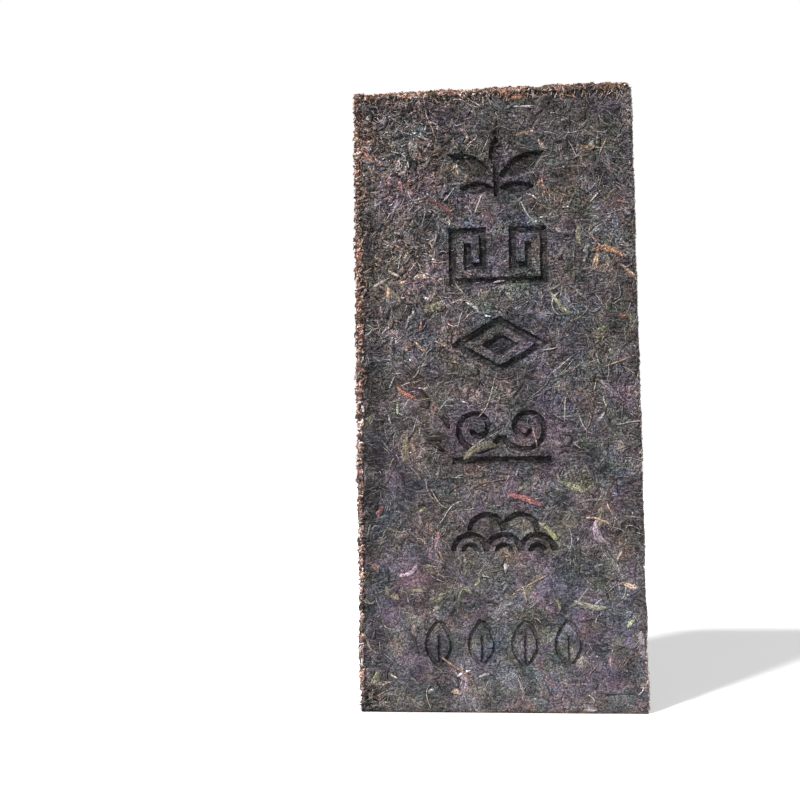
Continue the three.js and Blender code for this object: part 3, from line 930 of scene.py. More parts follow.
def between(tree, value, start, end, low_value=0.0, high_value=1.0):
    """A value spread smoothly from a range onto another, and clamped."""
    inputs = {0: value, 1: start, 2: end, 3: low_value, 4: high_value}
    return add(tree, "MapRange", inputs, interpolation_type="SMOOTHSTEP").outputs[0]


def noise(tree, vector, size, detail=2.0, roughness=0.6):
    """Noise with lumps as long as size, in millimetres."""
    inputs = {"Vector": vector, "Scale": 1 / size, "Detail": detail, "Roughness": roughness}
    return add(tree, "TexNoise", inputs)


def warped(tree, vector, size, reach):
    """Places pushed about by noise."""
    push = noise(tree, vector, size, detail=1).outputs["Color"]
    inputs = {0: push, 1: (2 * reach,) * 3, 2: (-reach,) * 3}
    push = add(tree, "VectorMath", inputs, operation="MULTIPLY_ADD").outputs[0]
    return add(tree, "VectorMath", {0: vector, 1: push}, operation="ADD").outputs[0]


def cells(tree, vector, size):
    """Close cells of a size in millimetres: two random numbers of each, and the distance from its middle."""
    node = add(tree, "TexVoronoi", {"Vector": vector, "Scale": 1 / size})
    drawn = add(tree, "SeparateXYZ", {0: node.outputs["Color"]}).outputs
    return drawn[0], drawn[1], node.outputs["Distance"]


def millimetres(tree):
    """Places on the object, in millimetres."""
    place = add(tree, "TexCoord").outputs["Object"]
    return add(tree, "VectorMath", {0: place, "Scale": 1 / MM}, operation="SCALE").outputs[0]


def effect(name, inputs, outputs):
    """An empty node group with its sockets, and the sockets at its two ends."""
    tree = bpy.data.node_groups.new(name, "ShaderNodeTree")
    for socket, (kind, default) in inputs.items():
        made = tree.interface.new_socket(socket, in_out="INPUT", socket_type="NodeSocket" + kind)
        if default is not None:
            made.default_value = default
    for socket, kind in outputs.items():
        tree.interface.new_socket(socket, in_out="OUTPUT", socket_type="NodeSocket" + kind)
    return tree, tree.nodes.new("NodeGroupInput").outputs, tree.nodes.new("NodeGroupOutput").inputs


def use(tree, group, inputs):
    """Places a node group in a material."""
    node = tree.nodes.new("ShaderNodeGroup")
    node.node_tree = group
    for name, value in inputs.items():
        join(tree, value, node.inputs[name])
    return node.outputs


def surface_of(name, gloss):
    """An empty material, its tree and its surface shader, which is as glossy as given."""
    made = bpy.data.materials.new(name)
    made.use_nodes = True
    shader = made.node_tree.nodes["Principled BSDF"]
    shader.inputs["Specular IOR Level"].default_value = gloss
    return made, made.node_tree, shader


def finish(tree, shader, color, roughness, height, strength, distance):
    """Feeds a surface shader its colour, roughness and bumps, as high as a distance in millimetres."""
    join(tree, color, shader.inputs["Base Color"])
    join(tree, roughness, shader.inputs["Roughness"])
    bumps = {"Height": height, "Strength": strength, "Distance": distance * MM}
    join(tree, add(tree, "Bump", bumps).outputs[0], shader.inputs["Normal"])


# ---------------------------------------------------------------- shared effects


def leaf_hue_effect():
    """How the leaf drifts over the brick, in patches of hue and lightness.

    It is paler at the foot and darker upwards: partly painted light, as if the pale floor lit its lower part,
    and partly the leaf's own tone, smoother at the foot and coarser upwards. The rims of the marked face have
    a warm hue, partly the brown of crumbled leaf and partly painted warm light.
    """
    made = {"Hue": "Color", "Shade": "Float", "Coarseness": "Float"}
    tree, inputs, outputs = effect("leaf hue", {"Vector": ("Vector", None)}, made)
    drift = noise(tree, inputs["Vector"], 25, detail=1.5, roughness=0.55).outputs["Color"]
    strength = (1.0, 0.6, 1.15)
    rest = (0.52, 0.665, 0.44)
    hue = add(tree, "VectorMath", {0: drift, 1: strength, 2: rest}, operation="MULTIPLY_ADD").outputs[0]
    patches = noise(tree, inputs["Vector"], 12, detail=2, roughness=0.4).outputs["Fac"]
    side, through, height = add(tree, "SeparateXYZ", {0: inputs["Vector"]}).outputs
    half, top = float(SLAB_HALF[0]), float(SLAB_SIZE[2])
    to_side = worked(tree, "SUBTRACT", half, worked(tree, "ABSOLUTE", side))
    to_top = worked(tree, "SUBTRACT", top, height)
    to_rim = worked(tree, "MINIMUM", to_side, to_top)
    to_right = between(tree, side, 0.85 * half, 0.97 * half)
    # The rims' hue is partly the brown of the crumbled leaf and partly painted warm light reflected onto
    # them.
    warm = mixed(tree, between(tree, height, 0, 0.5 * top), (1.02, 1, 1.08, 1), (1.18, 1, 0.96, 1))
    away = worked(tree, "MAXIMUM", to_right, between(tree, through, *HUE_DEPTH))
    rim_hue = mixed(tree, away, warm, (1.03, 1, 1, 1))
    hue = mixed(tree, between(tree, height, 0, 0.3 * top, 0.5, 0.0), hue, (1, 1.05, 1.08, 1))
    join(tree, mixed(tree, between(tree, to_rim, 1, 10), rim_hue, hue), outputs["Hue"])
    # Painted light and shade: lighter at the foot as if lit by the pale floor, darker towards the top, with
    # the rims spared; part of it is the leaf's own tone.
    pale_foot_and_floor_light = between(tree, height, 0, 0.42 * top, 1.67, 1.02)
    dark_top_and_shade = between(tree, height, 0.66 * top, top, 1.02, 0.62)
    dark_top_and_shade = worked(tree, "MAXIMUM", dark_top_and_shade, between(tree, to_side, 1.5, 7, 1.1, 0.0))
    dark_top_and_shade = worked(tree, "MAXIMUM", dark_top_and_shade, between(tree, to_top, 3, 9, 0.76, 0.0))
    shade = product(tree, between(tree, patches, 0.3, 0.7, 0.6, 1.45), pale_foot_and_floor_light, dark_top_and_shade)
    join(tree, shade, outputs["Shade"])
    calm = add(tree, "SeparateXYZ", {0: drift}).outputs[1]
    coarse = between(tree, height, 0, top, 0.42, 1.65)
    coarse = product(tree, coarse, between(tree, calm, 0.38, 0.6, 0.75, 1.2))
    join(tree, coarse, outputs["Coarseness"])
    return tree


def particle_effect():
    """Crushed leaf: close particles, each of its own shade, with painted shade in the crevices between them.
    """
    sockets = {"Vector": ("Vector", None), "Size": ("Float", 1.0), "Contrast": ("Float", 1.0)}
    tree, inputs, outputs = effect("leaf particles", sockets, {"Shade": "Float", "Height": "Float"})
    vector = add(tree, "VectorMath", {0: inputs["Vector"], 1: inputs["Size"]}, operation="DIVIDE").outputs[0]
    vector = warped(tree, vector, 1.6, 1.1)
    fine, _, fine_distance = cells(tree, vector, 0.75)
    coarse, _, coarse_distance = cells(tree, vector, 2.3)
    power = worked(tree, "MULTIPLY_ADD", fine, 2.7, worked(tree, "MULTIPLY_ADD", coarse, 0.7, -1.72))
    shade = worked(tree, "EXPONENT", worked(tree, "MULTIPLY", power, inputs["Contrast"]))
    shade = worked(tree, "MINIMUM", shade, 2.8)
    # Painted shade: darker in the crevices between the particles.
    crevice_shade = between(tree, fine_distance, 0.4, 0.75, 1.0, 0.28)
    join(tree, product(tree, shade, crevice_shade), outputs["Shade"])
    fine_height = worked(tree, "MULTIPLY", fine_distance, -0.6)
    height = worked(tree, "MULTIPLY_ADD", coarse_distance, -1.0, fine_height)
    join(tree, height, outputs["Height"])
    return tree


def fibre_effect():
    """Fine fibres that lie every which way in the leaf."""
    tree, inputs, outputs = effect("fine fibres", {"Vector": ("Vector", None)}, {"Fibres": "Float"})
    vector = warped(tree, inputs["Vector"], 6, 2.2)
    total = None
    for turn in (0.35, 1.15, 1.95, 2.75):
        turned = {"Vector": vector, "Rotation": (0, turn, 0), "Scale": (1 / 8, 1 / 3, 1)}
        turned = add(tree, "Mapping", turned, vector_type="POINT").outputs[0]
        drawn, strength, distance = cells(tree, turned, 1.0)
        body = between(tree, distance, 0.34, 0.2)
        body = product(tree, body, worked(tree, "GREATER_THAN", drawn, 0.55), strength)
        total = body if total is None else worked(tree, "MAXIMUM", total, body)
    join(tree, total, outputs["Fibres"])
    return tree


LEAF_HUE = leaf_hue_effect()
PARTICLES = particle_effect()
FINE_FIBRES = fibre_effect()


# ---------------------------------------------------------------- materials


def color4(name, share=1.0):
    """A tint as a shader colour, darker or lighter by a share."""
    return (*(TINTS[name] * share), 1)


def ramp(tree, value, stops):
    """A colour ramp over tints: a list of place, tint name and share."""
    node = add(tree, "ValToRGB", {0: value})
    elements = node.color_ramp.elements
    while len(elements) < len(stops):
        elements.new(0.5)
    for element, (place, name, share) in zip(elements, stops):
        element.position = place
        element.color = color4(name, share)
    return node.outputs[0]


LEAF_TONES = [
    (0.0, "slate", 0.9),
    (0.18, "blue", 0.9),
    (0.34, "slate", 0.7),
    (0.5, "purple", 0.9),
    (0.64, "brown", 0.9),
    (0.76, "teal", 0.85),
    (0.88, "olive", 0.9),
    (1.0, "slate", 1.2),
]


def own_tint(tree):
    """What a piece is painted with."""
    return add(tree, "VertexColor", layer_name="tint").outputs["Color"]


def fibred(tree, vector, color, share):
    """A colour with pale fine fibres over it."""
    fibres = use(tree, FINE_FIBRES, {"Vector": vector})["Fibres"]
    return mixed(tree, product(tree, fibres, share), color, color4("ash"))


def pressed_tea():
    """The slab itself: a patchwork of dark leaves of close particles and fine fibres, with brown rims."""
    made, tree, shader = surface_of("pressed tea", gloss=0.22)
    vector = millimetres(tree)
    drift = use(tree, LEAF_HUE, {"Vector": vector})
    particles = use(tree, PARTICLES, {"Vector": vector, "Contrast": drift["Coarseness"]})
    leaf, leaf_shade, _ = cells(tree, warped(tree, vector, 9, 7), 8)
    color = ramp(tree, leaf, LEAF_TONES)
    rim, deep, dim = add(tree, "SeparateXYZ", {0: own_tint(tree)}).outputs
    color = mixed(tree, rim, color, color4("rust", 0.8))
    color = mixed(tree, 1.0, color, drift["Hue"], "MULTIPLY")
    shade = product(tree, drift["Shade"], particles["Shade"], between(tree, leaf_shade, 0, 1, 0.8, 1.2))
    # The green channel darkens the marks, the rims' pits and the broken corner as painted shade; the blue one
    # dims the leaf, in the broken corner as painted shade.
    color = lit(tree, color, product(tree, shade, between(tree, deep, 0, 1, 1, 0.22)))
    color = lit(tree, color, worked(tree, "SUBTRACT", 1.0, dim))
    color = fibred(tree, vector, color, 0.5)
    roughness = between(tree, particles["Height"], -1.2, -0.3, 0.75, 0.5)
    finish(tree, shader, color, roughness, particles["Height"], strength=0.8, distance=0.35)
    return made


def torn_leaf():
    """A leaf scrap in its own tint, streaked along its length, with a paler torn margin that is partly a
    painted highlight along its edge.
    """
    made, tree, shader = surface_of("torn leaf", gloss=0.28)
    vector = millimetres(tree)
    drift = use(tree, LEAF_HUE, {"Vector": vector})
    contrast = product(tree, drift["Coarseness"], 0.5)
    particles = use(tree, PARTICLES, {"Vector": vector, "Size": 0.85, "Contrast": contrast})
    tint = own_tint(tree)
    along, across, _ = add(tree, "SeparateXYZ", {0: add(tree, "UVMap", uv_map="leaf").outputs[0]}).outputs
    place = add(tree, "SeparateXYZ", {0: vector}).outputs[0]
    lengthways = add(tree, "CombineXYZ", {0: product(tree, along, 2.0), 1: product(tree, across, 7.0)})
    join(tree, product(tree, place, 0.4), lengthways.inputs[2])
    streaks = noise(tree, lengthways.outputs[0], 1.0, detail=2).outputs["Fac"]
    aside = worked(tree, "ABSOLUTE", worked(tree, "SUBTRACT", across, 0.5))
    rib = between(tree, aside, 0.05, 0.0)
    # The paler torn margin is partly the leaf's own edge and partly a painted highlight along it.
    margin = between(tree, aside, 0.41, 0.49)
    pale = product(tree, worked(tree, "MAXIMUM", rib, margin), between(tree, streaks, 0.35, 0.6), 0.55)
    color = mixed(tree, 1.0, tint, drift["Hue"], "MULTIPLY")
    color = mixed(tree, pale, color, color4("ash"))
    shade = product(tree, drift["Shade"], particles["Shade"], between(tree, streaks, 0.3, 0.7, 0.42, 1.7))
    color = lit(tree, color, shade)
    color = fibred(tree, vector, color, 0.3)
    height = worked(tree, "MULTIPLY_ADD", streaks, 0.8, product(tree, particles["Height"], 0.7))
    roughness = between(tree, streaks, 0.3, 0.7, 0.65, 0.45)
    finish(tree, shader, color, roughness, height, strength=0.8, distance=0.3)
    return made


def dry_strand():
    """Stems and fibres in their own tint, flecked along."""
    made, tree, shader = surface_of("dry strand", gloss=0.25)
    vector = millimetres(tree)
    particles = use(tree, PARTICLES, {"Vector": vector, "Size": 0.7, "Contrast": 0.45})
    tint = own_tint(tree)
    color = lit(tree, tint, particles["Shade"])
    finish(tree, shader, color, 0.6, particles["Height"], strength=0.5, distance=0.15)
    return made


def tea_crumb():
    """Crumbs of leaf and stem, each in its own tint, under the drift of colour of the leaf round them."""
    made, tree, shader = surface_of("tea crumb", gloss=0.15)
    vector = millimetres(tree)
    drift = use(tree, LEAF_HUE, {"Vector": vector})
    tint = own_tint(tree)
    color = mixed(tree, 1.0, tint, drift["Hue"], "MULTIPLY")
    grit = noise(tree, vector, 0.5, detail=2).outputs["Fac"]
    color = lit(tree, color, product(tree, drift["Shade"], between(tree, grit, 0.3, 0.7, 0.7, 1.3)))
    roughness = between(tree, grit, 0.3, 0.7, 0.8, 0.55)
    finish(tree, shader, color, roughness, grit, strength=0.4, distance=0.1)
    return made


# ---------------------------------------------------------------- the pieces

# Edges bent more than these angles stay sharp.
SLAB_EDGE = math.radians(42)
CRUMB_EDGE = math.radians(20)


def welded(points, faces):
    """Points that fall together made one, and the faces renumbered."""
    _, first, index = np.unique(np.round(points, 3), axis=0, return_index=True, return_inverse=True)
    return points[first], index.ravel()[faces]


def slab_paint(points):
    """How brown each point of the slab is (red), how much painted shade it has in the marks, the rims' pits
    and the broken corner (green), and how dim it is (blue).
    """
    box = points - SLAB_MIDDLE
    inward = SLAB_HALF - np.abs(box)
    front = np.where(box[:, 1] < 0, 1.0, 0.0)
    left = 1 - smooth((SLAB_HALF[0] + box[:, 0]) / coarseness(points[:, 2]), 2, 4.6)
    top = 1 - smooth(SLAB_HALF[2] - box[:, 2], 0.4, 1.8)
    outer = 1 - smooth(np.minimum(inward[:, 0], inward[:, 2]), 0.4, 1.6)
    brown = np.maximum(np.maximum(left, top) * front, outer * 0.7)
    broken = brokenness(points, BROKEN_REACH)
    brown = np.clip(np.maximum(brown, broken) * (0.8 + 0.6 * lumps(points, 4, 14)), 0, 1)
    # Painted shade: dark in the pressed marks, and in patches over the rims' pits and the broken corner.
    mark_shade = front * (mark_depth(box[:, 0], box[:, 2]) / MARK_DEPTH) ** 2
    deep = 0.78 * mark_shade + (0.75 * brown + broken) * smooth(lumps(points, 2.6, 15), -0.1, 0.4)
    return np.column_stack((brown, np.clip(deep, 0, 1), dimness(points)))


def pressed_slab(surface):
    """The whole slab as one closed mesh, its rims and hollows painted."""
    lines = grid_lines()
    sides = [
        (MARKED_FACE, "across", "up"),
        (BACK, "across", "up"),
        (LEFT, "through", "up"),
        (RIGHT, "through", "up"),
        (TOP, "across", "through"),
        (FOOT, "across", "through"),
    ]
    points, faces, count = [], [], 0
    for panel, across, up in sides:
        # A panel whose axis looks the other way has its lines in the other order.
        u_lines = lines[across] * panel.across.sum()
        v_lines = lines[up] * panel.up.sum()
        side_points, side_faces = slab_panel(panel, np.sort(u_lines), np.sort(v_lines))
        points.append(side_points)
        faces.append(side_faces + count)
        count += len(side_points)
    points, faces = welded(np.concatenate(points), np.concatenate(faces))
    piece = mesh_piece("pressed_slab", points, faces, surface, SLAB_EDGE)
    paint(piece, "tint", slab_paint(points))
    return piece


# Scraps: their length, slimness, lift, tilt, tints and spread.
FLAT_SCRAP = Scraps((8, 24), (1.8, 4.5), (-0.1, 0.3), 0.02, DARK_LEAF, 0.2)
PALE_SCRAP = Scraps((5, 16), (3, 7), (0.1, 0.45), 0.04, PALE_LEAF, 0.25)
SLIM_SCRAP = Scraps((3, 11), (3, 8), (-0.1, 0.38), 0.05, MIXED_LEAF, 0.52)
LOOSE_SCRAP = Scraps((3, 13), (3, 9), (0, 0.65), 0.1, LOOSE_LEAF, 0.6)
BACK_SCRAP = Scraps((3, 11), (3, 7), (-0.08, 0.35), 0.05, MIXED_LEAF, 0.2)
EDGE_SCRAP = Scraps((2.5, 12), (3, 8), (-0.1, 0.35), 0.06, RIM_LEAF, 0.35)
LEAF_END = Scraps((1.8, 7), (2.4, 6.5), (0.5, 2), 0.1, RIM_LEAF, 0.75)

# Strands: their length, radius, curl, lift, dip, tints and spread.
PRESSED_STEM = Strands((6, 20), (0.3, 0.7), 0.2, (-0.2, 0.3), 0.25, STEM, 0.3)
SINGLE_FIBRE = Strands((2, 11), (0.1, 0.24), 0.45, (0.02, 0.3), 0.1, FIBRE, 0.5)
BUNDLED_FIBRE = Strands((4, 12), (0.1, 0.22), 0.15, (0.05, 0.3), 0.06, FIBRE, 0.4)
FACE_CURL = Strands((4, 18), (0.16, 0.5), 0.65, (0.05, 0.4), 0.15, CURL, 0.5)
PALE_CURL = FACE_CURL._replace(length=(3, 12), tints=LOOSE_CURL)
BROKEN_CURL = FACE_CURL._replace(length=(2, 9), tints=LOOSE_CURL)
RIM_CURL = Strands((3, 9), (0.2, 0.5), 0.3, (0.1, 0.4), 0.1, LOOSE_CURL, 0.4)

# Crumbs: their size, lift, tints and spread.
FINE_CRUMB = Crumbs((0.18, 0.42), (-0.12, 0.1), GRANULE, 0.5)
LOOSE_CRUMB = Crumbs((0.3, 0.7), (0, 0.3), LOOSE_LEAF, 0.5)
LEFT_CRUMB = Crumbs((0.2, 0.55), (0.1, 1.1), RIM_CRUMB, 0.7)
RIGHT_CRUMB = Crumbs((0.2, 0.55), (-0.1, 0.35), EDGE_CRUMB, 0.4)
TOP_CRUMB = Crumbs((0.2, 0.6), (0.5, 2.1), TOP_LEAF, 0.5)
SIDE_CRUMB = Crumbs((0.25, 0.6), (-0.15, 0.25), RIM_CRUMB, 0.5)

BROAD_CELLS = (9, 5)  # the grid points of a scrap, along and across it
SMALL_CELLS = (5, 2)
STEM_TUBE = Tube(steps=9, sides=6)
FIBRE_TUBE = Tube(steps=5, sides=4)
CURL_TUBE = Tube(steps=11, sides=4)
UPWARDS, ACROSS = math.pi / 2, 0  # which way things lie on a panel

# What stands out most on the marked face: two ends, up from its foot, then a stem's radius or a scrap's
# width, and a tint.
NOTED_STEMS = [
    ((-32, 29.5), (-12.5, 13), 0.8, "tan"),
    ((25, 73), (12, 65), 0.6, "tan"),
    ((12, 65.5), (13.5, 58), 0.5, "cream"),
    ((-75, 42), (-67, 29.5), 0.55, "cream"),
    ((-56.5, 46), (-53, 36), 0.45, "ash"),
    ((-60, 20), (-56, 17.5), 0.5, "cream"),
    ((-16, 338), (-6, 329), 0.55, "cream"),
    ((-5.4, 338), (-3.9, 330), 0.5, "cream"),
    ((-2.4, 338), (0, 330), 0.4, "cream"),
    ((-40, 281), (-21, 269.5), 0.7, "red"),
    ((-33, 276), (-24, 266), 0.45, "pink"),
    ((0.8, 182), (-9, 157), 0.4, "cream"),
    ((62, 67.6), (69.6, 68.6), 0.6, "tan"),
    ((18.9, 151.7), (20.8, 141), 0.5, "pink"),
    ((-21.7, 231.4), (-17.4, 225.8), 0.5, "cream"),
    ((-68.7, 183), (-70, 163), 0.45, "green"),
    ((-77, 320), (-65, 299), 0.6, "pink"),
    ((-75, 306), (-62, 296), 0.5, "pink"),
    ((-77, 290), (-66, 281), 0.6, "tan"),
    ((-70, 300), (-63, 288), 0.5, "tan"),
    ((-76.5, 1), (-75.5, 9), 0.7, "cream"),
    ((-73, 11), (-66, 5), 0.5, "tan"),
    ((-70, 14), (-61, 15), 0.45, "cream"),
    ((-69, 8), (-60, 1.5), 0.5, "ash"),
    ((-73, 3), (-67, 1.5), 0.5, "pink"),
]
NOTED_SCRAPS = [
    ((4.5, 115.5), (24, 109), 3, "red"),
    ((-19, 134.5), (0, 142), 5, "green"),
    ((-39, 216), (-27, 219), 5, "yellow"),
    ((52, 246.5), (70, 243), 3.6, "orange"),
    ((38, 59.5), (57, 55), 4, "green"),
    ((30.3, 224.4), (40.2, 211.5), 2.4, "yellow"),
    ((-40.8, 312), (-38.9, 291), 2.8, "ash"),
    ((45.8, 305), (56.6, 306), 4, "tan"),
    ((65.3, 211), (72, 210.6), 3.4, "red"),
    ((51, 101.5), (59, 88), 4, "ash"),
    ((-54.5, 175), (-44, 168.6), 2.6, "orange"),
    ((-71, 79), (-66, 73), 3, "tan"),
    ((-41, 78), (-35, 73), 4, "green"),
    ((-50, 262), (-41, 250), 3.6, "ash"),
    ((-60, 232), (-49, 222), 3.2, "green"),
]


def noted_stems():
    """The stems that stand out most."""
    places, angles, lengths, radii, tints = laid(NOTED_STEMS)
    kind = Strands((lengths, lengths), (radii, radii), 0.25, (0, 0.1), 0.1, tints, 0.1)
    return strands(PLAIN_FACE, places, kind, STEM_TUBE, angles)


def noted_scraps():
    """The leaf scraps that stand out most."""
    places, angles, lengths, widths, tints = laid(NOTED_SCRAPS)
    slimness = lengths / widths
    kind = Scraps((lengths, lengths), (slimness, slimness), (0.45, 0.6), 0.01, tints, 0.1)
    return leaf_scraps(PLAIN_FACE, places, kind, BROAD_CELLS, angles)


def broad_scraps(surface):
    """Broad leaf scraps, flat on the two faces."""
    batches = [noted_scraps()]
    for kind, panel, count in (
        (FLAT_SCRAP, MARKED_FACE, 470),
        (FLAT_SCRAP, BACK, 280),
        (PALE_SCRAP, MARKED_FACE, 150),
        (PALE_SCRAP, BACK, 60),
    ):
        batches.append(leaf_scraps(panel, spread_places(panel, count), kind, BROAD_CELLS))
    return scrap_piece("broad_leaf_scraps", batches, BROAD_CELLS, surface)


def small_scraps(surface):
    """Small slim scraps of every tint on the marked face, more of them where the leaf is loose."""
    even = thinned(spread_places(MARKED_FACE, 3000))
    loose = loose_places(1000)
    kinds = ((even, SLIM_SCRAP), (loose, LOOSE_SCRAP))
    batches = [leaf_scraps(MARKED_FACE, places, kind, SMALL_CELLS) for places, kind in kinds]
    return scrap_piece("small_leaf_scraps", batches, SMALL_CELLS, surface)


def other_scraps(surface):
    """Small scraps on the back, the sides and the top, those on the sides lying edge on."""
    batches = [leaf_scraps(BACK, spread_places(BACK, 1700), BACK_SCRAP, SMALL_CELLS)]
    for panel, count, angle in ((LEFT, 420, UPWARDS), (RIGHT, 420, UPWARDS), (TOP, 160, ACROSS)):
        places = spread_places(panel, count, margin=0.5)
        angles = rng.normal(angle, 0.25, len(places))
        batches.append(leaf_scraps(panel, places, EDGE_SCRAP, SMALL_CELLS, angles))
    return scrap_piece("side_leaf_scraps", batches, SMALL_CELLS, surface)


def stems(surface):
    """Stems pressed into the faces and the sides."""
    batches = [noted_stems()]
    for panel, count in ((MARKED_FACE, 80), (BACK, 60), (LEFT, 20), (RIGHT, 20), (TOP, 10)):
        batches.append(strands(panel, spread_places(panel, count, margin=3), PRESSED_STEM, STEM_TUBE))
    return many_piece("stems", batches, tube_quads(STEM_TUBE), surface)


def fibres(surface):
    """Fine fibres, on every side but the foot, singly and side by side in bundles."""
    single = [
        (MARKED_FACE, thinned(spread_places(MARKED_FACE, 2300))),
        (BACK, spread_places(BACK, 900)),
        (LEFT, spread_places(LEFT, 150, margin=0.5)),
        (RIGHT, spread_places(RIGHT, 150, margin=0.5)),
        (TOP, spread_places(TOP, 80, margin=0.5)),
    ]
    batches = [strands(panel, places, SINGLE_FIBRE, FIBRE_TUBE) for panel, places in single]
    front = thinned(spread_places(MARKED_FACE, 480, margin=3))
    for panel, middles in ((MARKED_FACE, front), (BACK, spread_places(BACK, 60, margin=3))):
        places, angles = bundled(middles, each=5, gap=0.7)
        batches.append(strands(panel, places, BUNDLED_FIBRE, FIBRE_TUBE, angles))
    return many_piece("fibres", batches, tube_quads(FIBRE_TUBE), surface)


def curls(surface):
    """Thicker, paler fibres that curl over the faces, more of them where the leaf is loose or broken."""
    broken = BROKEN_CORNER[::2] - (0, SLAB_HALF[2]) + rng.uniform((-5, -3), (9, 11), (90, 2))
    kinds = [
        (MARKED_FACE, thinned(spread_places(MARKED_FACE, 580, margin=2)), FACE_CURL),
        (MARKED_FACE, loose_places(300), FACE_CURL),
        (MARKED_FACE, loose_places(380, closeness=3), PALE_CURL),
        (MARKED_FACE, broken, BROKEN_CURL),
        (BACK, spread_places(BACK, 200, margin=2), FACE_CURL),
    ]
    batches = [strands(panel, places, kind, CURL_TUBE) for panel, places, kind in kinds]
    left_ends = rim_places("left", 240, (0, 7))
    places = np.concatenate((rim_places("top", 170, (0, 5.5)), left_ends[left_ends[:, 1] > 0]))
    angles = rng.normal(UPWARDS, 0.6, len(places))
    batches.append(strands(MARKED_FACE, places, RIM_CURL, CURL_TUBE, angles))
    return many_piece("curled_fibres", batches, tube_quads(CURL_TUBE), surface)


def granules(surface):
    """Fine crumbs pressed into the marked face, and coarser ones where the leaf is loose."""
    even = thinned(spread_places(MARKED_FACE, 11000))
    batches = [
        crumbs(MARKED_FACE, even, FINE_CRUMB),
        crumbs(MARKED_FACE, loose_places(1200), LOOSE_CRUMB),
    ]
    return many_piece("granules", batches, CRUMB_FACES, surface, CRUMB_EDGE)


def rim_crumbs(surface):
    """Crumbs along the rims, and on the back, the sides and the top."""
    batches = []
    for rim, count, reach, kind in (
        ("left", 2200, (-1.5, 4), LEFT_CRUMB),
        ("right", 900, (-1.5, 0.4), RIGHT_CRUMB),
        ("top", 1200, (-1.6, 0.5), TOP_CRUMB),
    ):
        batches.append(crumbs(MARKED_FACE, rim_places(rim, count, reach), kind))
    batches.append(crumbs(BACK, spread_places(BACK, 1800), SIDE_CRUMB._replace(tints=GRANULE)))
    for panel, count in ((LEFT, 1500), (RIGHT, 1500), (TOP, 900)):
        batches.append(crumbs(panel, spread_places(panel, count), SIDE_CRUMB))
    return many_piece("rim_crumbs", batches, CRUMB_FACES, surface, CRUMB_EDGE)


def rim_scraps(surface):
    """Torn leaf ends along the rims: some lie along them, and some stick out of them."""
    batches = []
    for rim, count, reach, lift, angle, tints in (
        ("left", 600, (-1.4, 4.2), (0.2, 1.4), UPWARDS, RIM_LEAF),
        ("left", 600, (-1.4, 2.4), (0.5, 2), 0.4, RIM_LEAF),
        ("right", 120, (-1.2, 0.6), (0, 0.45), UPWARDS, RIM_LEAF),
        ("top", 360, (-1.6, 2.4), (0.5, 2.1), ACROSS, TOP_LEAF),
        ("top", 300, (-1.6, 2.4), (0.6, 2.3), UPWARDS, TOP_LEAF),
    ):
        places = rim_places(rim, count, reach)
        angles = rng.normal(angle, 0.5, count)
        kind = LEAF_END._replace(lift=lift, tints=tints)
        batches.append(leaf_scraps(MARKED_FACE, places, kind, SMALL_CELLS, angles))
    return scrap_piece("rim_leaf_ends", batches, SMALL_CELLS, surface)


def keep(piece):
    """Sets a piece on the brick."""
    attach(piece, "root")
    return piece


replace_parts(keep(pressed_slab(pressed_tea())), "tea_brick")
leaf_surface = torn_leaf()
for make_scraps in (broad_scraps, small_scraps, other_scraps, rim_scraps):
    keep(make_scraps(leaf_surface))
strand_surface = dry_strand()
for make_strands in (stems, fibres, curls):
    keep(make_strands(strand_surface))
crumb_surface = tea_crumb()
for make_crumbs in (granules, rim_crumbs):
    keep(make_crumbs(crumb_surface))


# ---------------------------------------------------------------- stage, light and camera


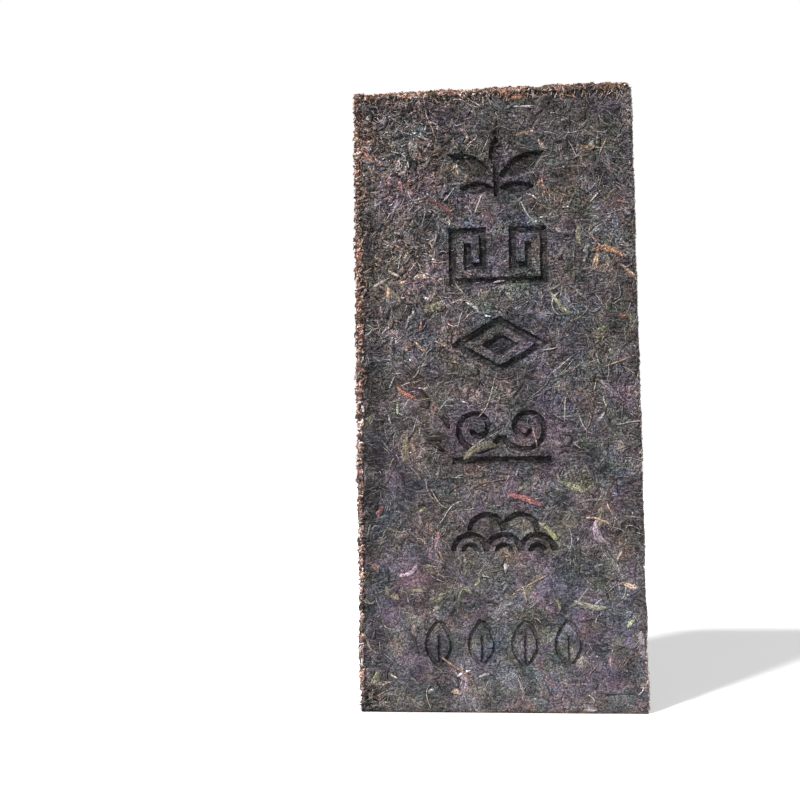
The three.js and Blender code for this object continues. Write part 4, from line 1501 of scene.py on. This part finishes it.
def pale_floor():
    """A plain pale floor under the brick."""
    size = 12000
    corners = np.array(((-1, -1), (1, -1), (1, 1), (-1, 1))) * size / 2
    made, tree, shader = surface_of("pale floor", gloss=0.2)
    # It throws back less light than it shows, so that the brick isn't lit from below.
    seen = add(tree, "LightPath").outputs["Is Camera Ray"]
    join(tree, mixed(tree, seen, (0.3, 0.3, 0.3, 1), (0.92, 0.92, 0.92, 1)), shader.inputs["Base Color"])
    shader.inputs["Roughness"].default_value = 0.9
    points = np.column_stack((corners, np.full(4, -0.05)))
    mesh_piece("floor", points, np.array(((0, 1, 2, 3),)), made)


def sun(name, energy, spread, way):
    """A soft sun that shines one way, as wide in the sky as its spread in degrees."""
    lamp = bpy.data.lights.new(name, "SUN")
    lamp.energy = energy
    lamp.angle = math.radians(spread)
    placed(name, lamp).rotation_euler = Vector(way).to_track_quat("-Z", "Y").to_euler()


def fill_light():
    """A weak, soft lamp low in front of the marked face, as a pale table would light it."""
    lamp = bpy.data.lights.new("fill light", "AREA")
    lamp.size = 0.25
    lamp.energy = 0.4
    holder = placed("fill light", lamp)
    holder.location = (-0.04, -0.32, 0.03)
    holder.rotation_euler = (Vector((0, 0, 0.09)) - holder.location).to_track_quat("-Z", "Y").to_euler()
    holder.visible_camera = False


def white_room():
    """A white backdrop that lights the brick softly."""
    world = bpy.data.worlds.new("white room")
    bpy.context.scene.world = world
    world.use_nodes = True
    tree = world.node_tree
    background = tree.nodes["Background"]
    background.inputs["Color"].default_value = (1, 1, 1, 1)
    seen = add(tree, "LightPath").outputs["Is Camera Ray"]
    join(tree, between(tree, seen, 0, 1, 0.18, 1.0), background.inputs["Strength"])


def photo_camera():
    """The camera at the photograph's viewing angle."""
    lens = bpy.data.cameras.new("camera")
    lens.lens = LENS
    lens.sensor_width = SENSOR_WIDTH
    lens.clip_end = 100
    camera = placed("camera", lens)
    camera.location = CAMERA_PLACE
    look = (CAMERA_AIM - CAMERA_PLACE).to_track_quat("-Z", "Y")
    camera.rotation_euler = (look @ Quaternion((0, 0, 1), CAMERA_ROLL)).to_euler()
    bpy.context.scene.camera = camera


pale_floor()
# The key light comes from the upper left of the marked face. The back light, weaker and much softer, comes
# from behind and the right, for the sides that the photo doesn't show.
sun("key light", energy=5.2, spread=7, way=(0.47, 0.52, -0.71))
sun("back light", energy=2.8, spread=50, way=(-0.6, -0.55, -0.58))
fill_light()
white_room()
photo_camera()
bpy.context.scene.view_settings.view_transform = "Standard"
